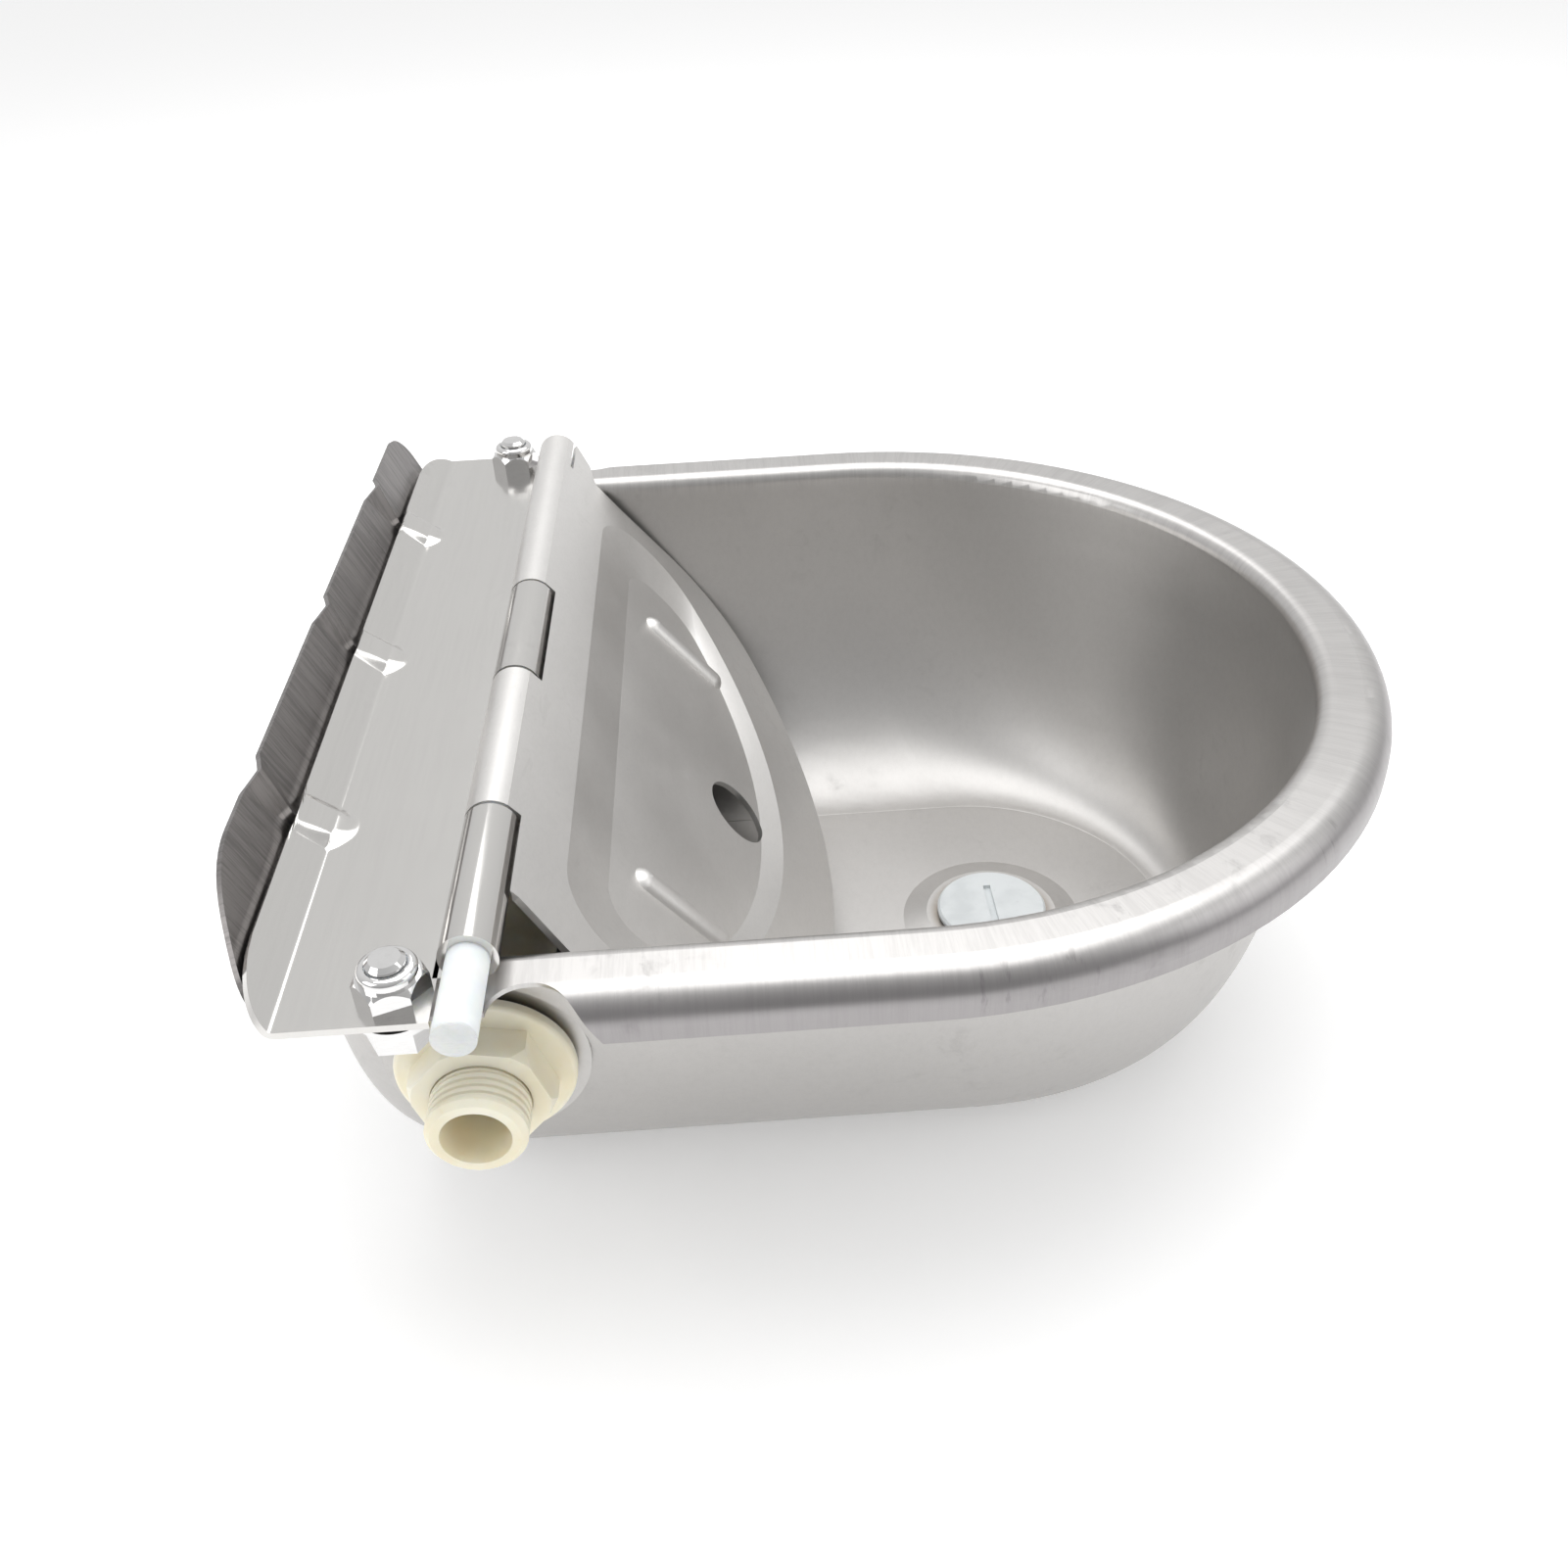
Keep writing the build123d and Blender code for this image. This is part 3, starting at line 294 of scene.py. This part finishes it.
steelLooks = {
    "blasted": {
        "Strokes": 2600.0, "Stroke Ratio": 0.8, "Stroke Share": 0.1, "Smudge Share": 0.16,
        "Scratch Share": 0.05, "Rough": 0.42,
        "Tone": (0.56, 0.548, 0.535, 1), "Dark Tone": (0.34, 0.33, 0.32, 1),
    },
    "rim": {
        "Strokes": 1900.0, "Stroke Ratio": 0.05, "Stroke Share": 0.17, "Smudge Share": 0.34,
        "Scratch Share": 0.18, "Rough": 0.34,
        "Tone": (0.6, 0.587, 0.575, 1), "Dark Tone": (0.27, 0.26, 0.26, 1),
    },
    # painted shade: the rear lip is the bowl's own steel in a far darker tone, standing in for the
    # shade and dark reflection it lies in; its strong strokes are the real brushing
    "lip": {
        "Strokes": 1700.0, "Stroke Ratio": 0.05, "Stroke Share": 0.55, "Smudge Share": 0.3,
        "Scratch Share": 0.2, "Rough": 0.34,
        "Tone": (0.3, 0.285, 0.28, 1), "Dark Tone": (0.12, 0.115, 0.115, 1),
    },
    "plate": {
        "Strokes": 1800.0, "Stroke Ratio": 0.03, "Stroke Share": 0.05, "Smudge Share": 0.14,
        "Scratch Share": 0.22, "Rough": 0.15,
        "Tone": (0.68, 0.667, 0.648, 1), "Dark Tone": (0.4, 0.39, 0.375, 1),
    },
    # painted light: the cover's tone is raised above the plate steel's own, so the panel reads
    # lighter than its lighting makes it
    "cover": {
        "Strokes": 2200.0, "Stroke Ratio": 0.3, "Stroke Share": 0.07, "Smudge Share": 0.1,
        "Scratch Share": 0.08, "Rough": 0.42,
        "Tone": (0.8, 0.787, 0.77, 1), "Dark Tone": (0.44, 0.43, 0.41, 1),
    },
    "bright": {
        "Strokes": 2400.0, "Stroke Ratio": 0.2, "Stroke Share": 0.1, "Smudge Share": 0.15,
        "Scratch Share": 0.25, "Rough": 0.05,
        "Tone": (0.78, 0.775, 0.77, 1), "Dark Tone": (0.42, 0.42, 0.42, 1),
    },
    "brass": {
        "Strokes": 2200.0, "Stroke Ratio": 0.2, "Stroke Share": 0.25, "Smudge Share": 0.3,
        "Scratch Share": 0.2, "Rough": 0.2,
        "Tone": (0.8, 0.64, 0.33, 1), "Dark Tone": (0.45, 0.33, 0.14, 1),
    },
}


def newMaterial(name, metallic):
    material = bpy.data.materials.new(name)
    material.use_nodes = True
    tree = material.node_tree
    shader = tree.nodes["Principled BSDF"]
    shader.inputs["Metallic"].default_value = metallic
    place = newNode(tree, "ShaderNodeTexCoord").outputs["Object"]
    return material, tree, shader, place


def steelSkin(tree, look, place, strokePlace):
    inputs = {"Place": place, "Stroke Place": strokePlace}
    inputs.update(steelLooks[look])
    return newNode(tree, "ShaderNodeGroup", inputs, node_tree=steelGroup).outputs


def finishSkin(tree, shader, color, rough, height, distance, strength=0.5):
    ends = {"Height": height, "Distance": distance, "Strength": strength}
    bump = newNode(tree, "ShaderNodeBump", ends)
    tree.links.new(color, shader.inputs["Base Color"])
    tree.links.new(rough, shader.inputs["Roughness"])
    tree.links.new(bump.outputs[0], shader.inputs["Normal"])


def plainSteel(name, look, order, distance=0.00004):
    material, tree, shader, place = newMaterial(name, 1.0)
    parts = splitPlace(tree, place)
    strokePlace = joinPlace(tree, *[parts[axis] for axis in order])
    skin = steelSkin(tree, look, place, strokePlace)
    finishSkin(tree, shader, skin["Color"], skin["Roughness"], skin["Height"], distance)
    return material


# where the kinds of finish change on the bowl, and where painted shade darkens the rear lip and the
# rim's outer skirt: soft steps in metres, by height or by the place across the rim, and steps in a
# noise
bowlZones = {
    "rimHeight": (0.0925, 0.0985), "skirtAcross": (0.119, 0.123), "skirtHeight": (0.086, 0.0885),
    "lipHeight": (0.1006, 0.1012),
    "rubAcross": (0.124, 0.129), "rubStretch": (1.0, 0.22, 0.22), "rubNoise": (420.0, 4.0, 0.6),
    "rubStep": (0.56, 0.66), "patchNoise": (26.0, 2.0, 0.5), "patchStep": (0.50, 0.62),
    "rubShare": 0.4, "rub": (0.13, 0.12, 0.12, 1),
    # painted shade on the rim's outer skirt: where it starts across the rim, its share and its dark
    # tone
    "skirtShadeAcross": (0.1262, 0.1302), "skirtShadeShare": 0.62, "skirtShade": (0.22, 0.205, 0.215, 1),
    "plugX": 0.0385, "ringReach": (0.0192, 0.0163), "ringNoise": (160.0, 4.0, 0.55),
    "ringStep": (0.3, 0.6), "ringShares": (0.25, 0.7), "ringTone": (0.30, 0.25, 0.20, 1),
    "bump": 0.00003,
}


def bowlSteel():
    zones = bowlZones
    material, tree, shader, place = newMaterial("bowlSteel", 1.0)
    x, y, z = splitPlace(tree, place)[:3]
    track = newNode(tree, "ShaderNodeGroup", {"Place": place}, node_tree=rimGroup).outputs
    rimPlace, across = track["Rim Place"], track["Across"]
    tub = steelSkin(tree, "blasted", place, place)
    rim = steelSkin(tree, "rim", place, rimPlace)
    # painted shade: the rear lip's skin carries the darker tone
    lip = steelSkin(tree, "lip", place, joinPlace(tree, y, z, x))
    high = smoothStep(tree, z, *zones["rimHeight"])
    wide = smoothStep(tree, across, *zones["skirtAcross"])
    onRim = calc(tree, "MAXIMUM", high, wide)
    onRim = product(tree, onRim, smoothStep(tree, z, *zones["skirtHeight"]))
    onLip = smoothStep(tree, z, *zones["lipHeight"])
    color = blendColor(tree, onRim, tub["Color"], rim["Color"])
    # rubbed marks on the skirt of the rim, in short strokes across it
    rubPlace = scaled(tree, rimPlace, zones["rubStretch"])
    marks = smoothStep(tree, noiseAt(tree, rubPlace, *zones["rubNoise"]), *zones["rubStep"])
    patches = noiseAt(tree, rimPlace, *zones["patchNoise"])
    patches = smoothStep(tree, patches, *zones["patchStep"])
    outerBend = smoothStep(tree, across, *zones["rubAcross"])
    rubbed = product(tree, product(tree, marks, patches), product(tree, outerBend, onRim))
    color = blendColor(tree, product(tree, rubbed, zones["rubShare"]), color, zones["rub"])
    # painted shade: the outer skirt of the rim is darkened all round, standing in for the shade on
    # its turned-down face
    skirtShaded = product(tree, smoothStep(tree, across, *zones["skirtShadeAcross"]), onRim)
    color = blendColor(tree, product(tree, skirtShaded, zones["skirtShadeShare"]), color, zones["skirtShade"])
    # darker brown ring round the drain plug, in patches
    fromPlug = joinPlace(tree, calc(tree, "SUBTRACT", x, zones["plugX"]), y, 0.0)
    away = newNode(tree, "ShaderNodeVectorMath", {0: fromPlug}, operation="LENGTH").outputs["Value"]
    ringNoise = noiseAt(tree, place, *zones["ringNoise"])
    ringShare = smoothStep(tree, ringNoise, *zones["ringStep"], *zones["ringShares"])
    darkRing = product(tree, smoothStep(tree, away, *zones["ringReach"]), ringShare)
    color = blendColor(tree, darkRing, color, zones["ringTone"])
    # painted shade: above the lip height the bowl takes the darker lip tone
    color = blendColor(tree, onLip, color, lip["Color"])
    rough = blendValue(tree, onRim, tub["Roughness"], rim["Roughness"])
    rough = blendValue(tree, onLip, rough, lip["Roughness"])
    height = blendValue(tree, onRim, tub["Height"], rim["Height"])
    height = blendValue(tree, onLip, height, lip["Height"])
    finishSkin(tree, shader, color, rough, height, zones["bump"])
    return material


# surface of moulded plastic: cloudy tone, flecks and a fine grain; the names are as for steel
plasticPattern = {
    "cloudNoise": (3.0, 0.5, 0.3), "cloudStep": (0.35, 0.7), "cloudRough": 0.3,
    "grainNoise": (4.0, 0.6), "grainRough": 0.08,
    "fleckNoise": (700.0, 2.0, 0.4), "fleckStep": (0.66, 0.74), "fleckShare": 0.35,
}


def plasticNodes(tree, given):
    p = plasticPattern
    cloud = noiseAt(tree, given["Place"], given["Cloud Scale"], *p["cloudNoise"])
    fine = noiseAt(tree, given["Place"], given["Grain Scale"], *p["grainNoise"])
    fleck = smoothStep(tree, noiseAt(tree, given["Place"], *p["fleckNoise"]), *p["fleckStep"])
    share = smoothStep(tree, cloud, *p["cloudStep"])
    share = calc(tree, "MULTIPLY_ADD", fleck, p["fleckShare"], share)
    color = blendColor(tree, calc(tree, "MINIMUM", share, 1.0), given["Tone"], given["Deep Tone"])
    rough = calc(tree, "SUBTRACT", cloud, 0.5)
    rough = calc(tree, "MULTIPLY_ADD", rough, p["cloudRough"], given["Rough"])
    rough = calc(tree, "MULTIPLY_ADD", fine, p["grainRough"], rough)
    return {"Color": color, "Roughness": rough, "Height": fine}


plasticGroup = makeGroup("mouldedPlastic", {
    "Place": (0.0, 0.0, 0.0), "Cloud Scale": 60.0, "Grain Scale": 2500.0, "Rough": 0.4,
    "Tone": (0.9, 0.9, 0.9, 1.0), "Deep Tone": (0.8, 0.8, 0.8, 1.0),
}, {"Color": "Color", "Roughness": "Float", "Height": "Float"}, plasticNodes)

plasticLooks = {
    "nylon": {"Cloud Scale": 90.0, "Grain Scale": 1800.0, "Rough": 0.42,
              "Tone": (0.90, 0.93, 0.93, 1), "Deep Tone": (0.80, 0.84, 0.85, 1)},
    "ivory": {"Cloud Scale": 70.0, "Grain Scale": 1600.0, "Rough": 0.34,
              "Tone": (0.96, 0.91, 0.76, 1), "Deep Tone": (0.92, 0.84, 0.64, 1)},
    "white": {"Cloud Scale": 50.0, "Grain Scale": 2000.0, "Rough": 0.42,
              "Tone": (0.90, 0.90, 0.88, 1), "Deep Tone": (0.80, 0.80, 0.78, 1)},
    "grey": {"Cloud Scale": 110.0, "Grain Scale": 1500.0, "Rough": 0.5,
             "Tone": (0.72, 0.75, 0.76, 1), "Deep Tone": (0.63, 0.66, 0.67, 1)},
    "dark": {"Cloud Scale": 60.0, "Grain Scale": 1500.0, "Rough": 0.6,
             "Tone": (0.03, 0.03, 0.028, 1), "Deep Tone": (0.05, 0.05, 0.045, 1)},
    "rubber": {"Cloud Scale": 80.0, "Grain Scale": 1500.0, "Rough": 0.7,
               "Tone": (0.022, 0.022, 0.022, 1), "Deep Tone": (0.05, 0.05, 0.048, 1)},
}

# how far light spreads inside the plastic: a reach in metres and its shares by colour
plasticDepth = {"reach": 0.003, "shares": (1.0, 0.8, 0.5)}


def plasticSkin(name, look, glow=0.0, distance=0.00003):
    material, tree, shader, place = newMaterial(name, 0.0)
    inputs = {"Place": place}
    inputs.update(plasticLooks[look])
    skin = newNode(tree, "ShaderNodeGroup", inputs, node_tree=plasticGroup).outputs
    if glow:
        shader.inputs["Subsurface Weight"].default_value = glow
        shader.inputs["Subsurface Radius"].default_value = plasticDepth["shares"]
        shader.inputs["Subsurface Scale"].default_value = plasticDepth["reach"]
    finishSkin(tree, shader, skin["Color"], skin["Roughness"], skin["Height"], distance)
    return material


# a second, coarser bump that takes the fine one as its normal
def coarseBump(tree, height, distance, strength):
    shader = tree.nodes["Principled BSDF"]
    fineBump = shader.inputs["Normal"].links[0].from_socket
    bump = newNode(tree, "ShaderNodeBump", {
        "Height": height, "Distance": distance, "Strength": strength, "Normal": fineBump,
    })
    tree.links.new(bump.outputs[0], shader.inputs["Normal"])


# pipe thread on the inlet: a wave of the thread's pitch that climbs one pitch in one turn
inletThread = {
    "axisX": -0.091, "axisZ": 0.0697, "pitch": 0.001814, "depth": 0.0007, "strength": 0.8,
    "start": -0.1334, "startRun": 0.0006, "end": -0.1259, "endRun": -0.0004,
    "outerRadius": 0.0100, "radiusRun": 0.0002,
}


def threadedIvory():
    d = inletThread
    material = plasticSkin("ivoryThread", "ivory", 0.35)
    tree = material.node_tree
    place = newNode(tree, "ShaderNodeTexCoord").outputs["Object"]
    x, y, z = splitPlace(tree, place)[:3]
    sideways = calc(tree, "SUBTRACT", x, d["axisX"])
    upwards = calc(tree, "SUBTRACT", z, d["axisZ"])
    turn = calc(tree, "ARCTAN2", upwards, sideways)
    phase = calc(tree, "MULTIPLY_ADD", y, 2 * math.pi / d["pitch"], turn)
    wave = calc(tree, "MULTIPLY_ADD", calc(tree, "SINE", phase), 0.5, 0.5)
    squares = calc(tree, "MULTIPLY_ADD", sideways, sideways, product(tree, upwards, upwards))
    away = calc(tree, "SQRT", squares)
    outside = smoothStep(tree, away, d["outerRadius"], d["outerRadius"] + d["radiusRun"])
    started = smoothStep(tree, y, d["start"], d["start"] + d["startRun"])
    ended = smoothStep(tree, y, d["end"], d["end"] + d["endRun"])
    share = product(tree, outside, product(tree, started, ended))
    coarseBump(tree, product(tree, wave, share), d["depth"], d["strength"])
    return material


# sawn end of the hinge rod: fine saw lines on the cut face
rodEnd = {
    "face": -0.1435, "startRun": 0.0001, "endRun": -0.0002,
    "lineNoise": (2600.0, 3.0, 0.7), "stretch": 0.15, "depth": 0.0006, "strength": 0.9,
}


def sawnNylon():
    d = rodEnd
    material = plasticSkin("rodNylon", "nylon", 0.45)
    tree = material.node_tree
    place = newNode(tree, "ShaderNodeTexCoord").outputs["Object"]
    x, y, z = splitPlace(tree, place)[:3]
    sawPlace = joinPlace(tree, product(tree, x, d["stretch"]), y, z)
    lines = noiseAt(tree, sawPlace, *d["lineNoise"])
    cut = smoothStep(tree, y, d["face"] + d["startRun"], d["face"] + d["endRun"])
    coarseBump(tree, product(tree, lines, cut), d["depth"], d["strength"])
    return material


# the three numbers of a plain steel say which axes its strokes take, first the one they cross
plateSteel = plainSteel("plateSteel", "plate", (0, 1, 2))
# painted light: a lightened copy of the plate steel, used for the cover
litCoverSteel = plainSteel("litCoverSteel", "cover", (0, 1, 2))
materials = {
    "stainless_bowl": bowlSteel(),
    "stainless_plate": plateSteel,
    "polished_steel": plainSteel("brightSteel", "bright", (2, 0, 1), 0.00002),
    "brass": plainSteel("turnedBrass", "brass", (1, 0, 2)),
    "white_nylon": plasticSkin("ringNylon", "nylon", 0.3),
    "ivory_plastic": plasticSkin("ivoryPlastic", "ivory", 0.35),
    "black_rubber": plasticSkin("rubber", "rubber"),
    "white_plastic": plasticSkin("whitePlastic", "white", 0.1),
    "grey_plastic": plasticSkin("greyPlastic", "grey"),
}
special = {
    "float": plasticSkin("floatPlastic", "dark"),
    "guard_cover": litCoverSteel,
    "valve_body": threadedIvory(),
    "hinge_rod": sawnNylon(),
}
slotOf = {row["node"]: row["material_slot"] for row in frame["record"]["subparts"]}
for nodeName, node in frame["nodes"].items():
    material = special.get(nodeName, materials[slotOf[nodeName]])
    for slot in node.material_slots:
        slot.material = material
    if not node.material_slots:
        node.data.materials.append(material)
print("finishes assigned")


# sheet with thickness from a grid of middle points and their normals: each side lies half the
# thickness away along the normal, and a band of faces joins the two borders
def sheetMesh(name, middle, normal, thickness, material):
    rows, columns = middle.shape[:2]
    half = normal * (thickness / 2)
    points = np.concatenate([(middle + half).reshape(-1, 3), (middle - half).reshape(-1, 3)])
    shift = rows * columns
    index = np.arange(shift).reshape(rows, columns)
    below = index + shift
    top = np.stack([index[:-1, :-1], index[1:, :-1], index[1:, 1:], index[:-1, 1:]], -1)
    bottom = np.stack([below[:-1, :-1], below[:-1, 1:], below[1:, 1:], below[1:, :-1]], -1)
    border = np.concatenate([index[0, :-1], index[:-1, -1], index[-1, :0:-1], index[:0:-1, 0]])
    after = np.roll(border, -1)
    edge = np.stack([border, after, after + shift, border + shift], -1)
    faces = np.concatenate([top.reshape(-1, 4), bottom.reshape(-1, 4), edge])
    return meshFrom(name, points, faces, material)


def meshFrom(name, points, faces, material, sharp=35):
    mesh = bpy.data.meshes.new(name)
    mesh.from_pydata(points.tolist(), [], faces.tolist())
    mesh.validate()
    mesh.polygons.foreach_set("use_smooth", np.ones(len(mesh.polygons), dtype=bool))
    mesh.set_sharp_from_angle(angle=math.radians(sharp))
    mesh.materials.append(material)
    piece = bpy.data.objects.new(name, mesh)
    bpy.context.collection.objects.link(piece)
    return piece


def softStep(value, low, high):
    share = np.clip((value - low) / (high - low), 0, 1)
    return share * share * (3 - 2 * share)


# deck plate: a path from the hinge to the fold and up the flange, swept along Y. The path is a
# straight run, an arc that turns from level to the flange's angle, and a straight run at that
# angle. The gussets lift it by a product of a bump along the path and a flat-topped bump along Y.
# The rear corners are quarter ellipses: the reach along Y shrinks by the corner's length times
# one less the root of one less the square of the share gone into the corner.
deckPlate = {
    "frontX": -0.0947, "foldX": -0.125, "middleZ": 0.1012, "sheet": 0.0016,
    "flangeAngle": 41.0, "flangeRun": 0.0092, "bend": 0.0022,
    "half": 0.1345, "cornerAlong": 0.024, "cornerDeep": 0.0108, "cornerEnd": 0.999,
    "gussets": (-0.071, 0.003, 0.077), "gussetTop": 0.0036, "gussetFoot": 0.0078,
    "gussetReach": 0.0062, "gussetRunOut": 0.0008, "gussetNarrow": 0.55,
    "gussetRise": 0.0019, "gussetAtEdge": 0.0011,
    "pathPoints": 110, "widthPoints": 401,
}
# knuckles: the same sheet carried on under the rod and rolled round it, as a straight neck and
# then an arc from straight below the rod to the angle where the roll ends
deckKnuckles = {
    "hingeX": -0.088, "hingeZ": 0.1064, "rollRadius": 0.0052, "rollStart": -90, "rollEnd": 222.0,
    "neckOverlap": 0.001, "spans": ((-0.1223, -0.0795), (-0.0216, 0.0232)),
    "neckPoints": 7, "rollPoints": 90, "widthPoints": 24,
}


def deckPath(d):
    rise = math.radians(d["flangeAngle"])
    tangent = d["bend"] * math.tan(rise / 2)
    flat = d["frontX"] - d["foldX"] - tangent
    arc = d["bend"] * rise
    total = flat + arc + d["flangeRun"] - tangent
    s = np.linspace(0, total, d["pathPoints"])
    turn = np.clip((s - flat) / arc, 0, 1) * rise
    beyond = np.clip(s - flat - arc, 0, None)
    x = d["frontX"] - np.minimum(s, flat) - d["bend"] * np.sin(turn) - beyond * np.cos(turn)
    z = d["middleZ"] + d["bend"] * (1 - np.cos(turn)) + beyond * np.sin(turn)
    return s, x, z, turn, flat + arc / 2, total


# grid of places with one X and Z for each row
def gridOf(x, y, z):
    rows = [np.broadcast_to(values[:, None], y.shape) for values in (x, z)]
    return np.stack([rows[0], y, rows[1]], -1)


def gussetLift(d, s, y, fold, total):
    along = softStep(s, fold - d["gussetReach"], fold - d["gussetRunOut"])
    along *= 1 - (1 - d["gussetAtEdge"] / d["gussetRise"]) * softStep(s, fold, total)
    widening = softStep(s, fold - d["gussetReach"], fold)
    foot = d["gussetFoot"] * (d["gussetNarrow"] + (1 - d["gussetNarrow"]) * widening)[:, None]
    lift = np.zeros_like(y)
    for at in d["gussets"]:
        bump = softStep(foot - np.abs(y - at), 0, d["gussetFoot"] - d["gussetTop"])
        lift = np.maximum(lift, bump)
    return lift * (along * d["gussetRise"])[:, None]


def pressedDeck(material):
    d = deckPlate
    s, x, z, turn, fold, total = deckPath(d)
    deep = np.clip((s - (total - d["cornerDeep"])) / d["cornerDeep"], 0, d["cornerEnd"])
    reach = d["half"] - d["cornerAlong"] * (1 - np.sqrt(1 - deep ** 2))
    y = reach[:, None] * np.linspace(-1, 1, d["widthPoints"])[None, :]
    normal = gridOf(np.sin(turn), np.zeros_like(y), np.cos(turn))
    middle = gridOf(x, y, z) + normal * gussetLift(d, s, y, fold, total)[..., None]
    plate = sheetMesh("deckPlatePressed", middle, normal, d["sheet"], material)
    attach(plate, "base")
    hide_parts("deck_plate")


def rolledKnuckles(material):
    d = deckKnuckles
    turns = np.radians(np.linspace(d["rollStart"], d["rollEnd"], d["rollPoints"]))
    neckStart = deckPlate["frontX"] - d["neckOverlap"]
    neck = np.linspace(neckStart, d["hingeX"], d["neckPoints"] + 1)[:-1]
    x = np.concatenate([neck, d["hingeX"] + d["rollRadius"] * np.cos(turns)])
    neckZ = np.full(len(neck), d["hingeZ"] - d["rollRadius"])
    z = np.concatenate([neckZ, d["hingeZ"] + d["rollRadius"] * np.sin(turns)])
    normalX = np.concatenate([np.zeros(len(neck)), np.cos(turns)])
    normalZ = np.concatenate([-np.ones(len(neck)), np.sin(turns)])
    for number, (start, end) in enumerate(d["spans"]):
        y = np.broadcast_to(np.linspace(start, end, d["widthPoints"]), (len(x), d["widthPoints"]))
        middle = gridOf(x, y, z)
        normal = gridOf(normalX, np.zeros(y.shape), normalZ)
        name = "deckKnuckle" + str(number + 1)
        knuckle = sheetMesh(name, middle, normal, deckPlate["sheet"], material)
        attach(knuckle, "base")


pressedDeck(plateSteel)
rolledKnuckles(plateSteel)
print("deck plate pressed")
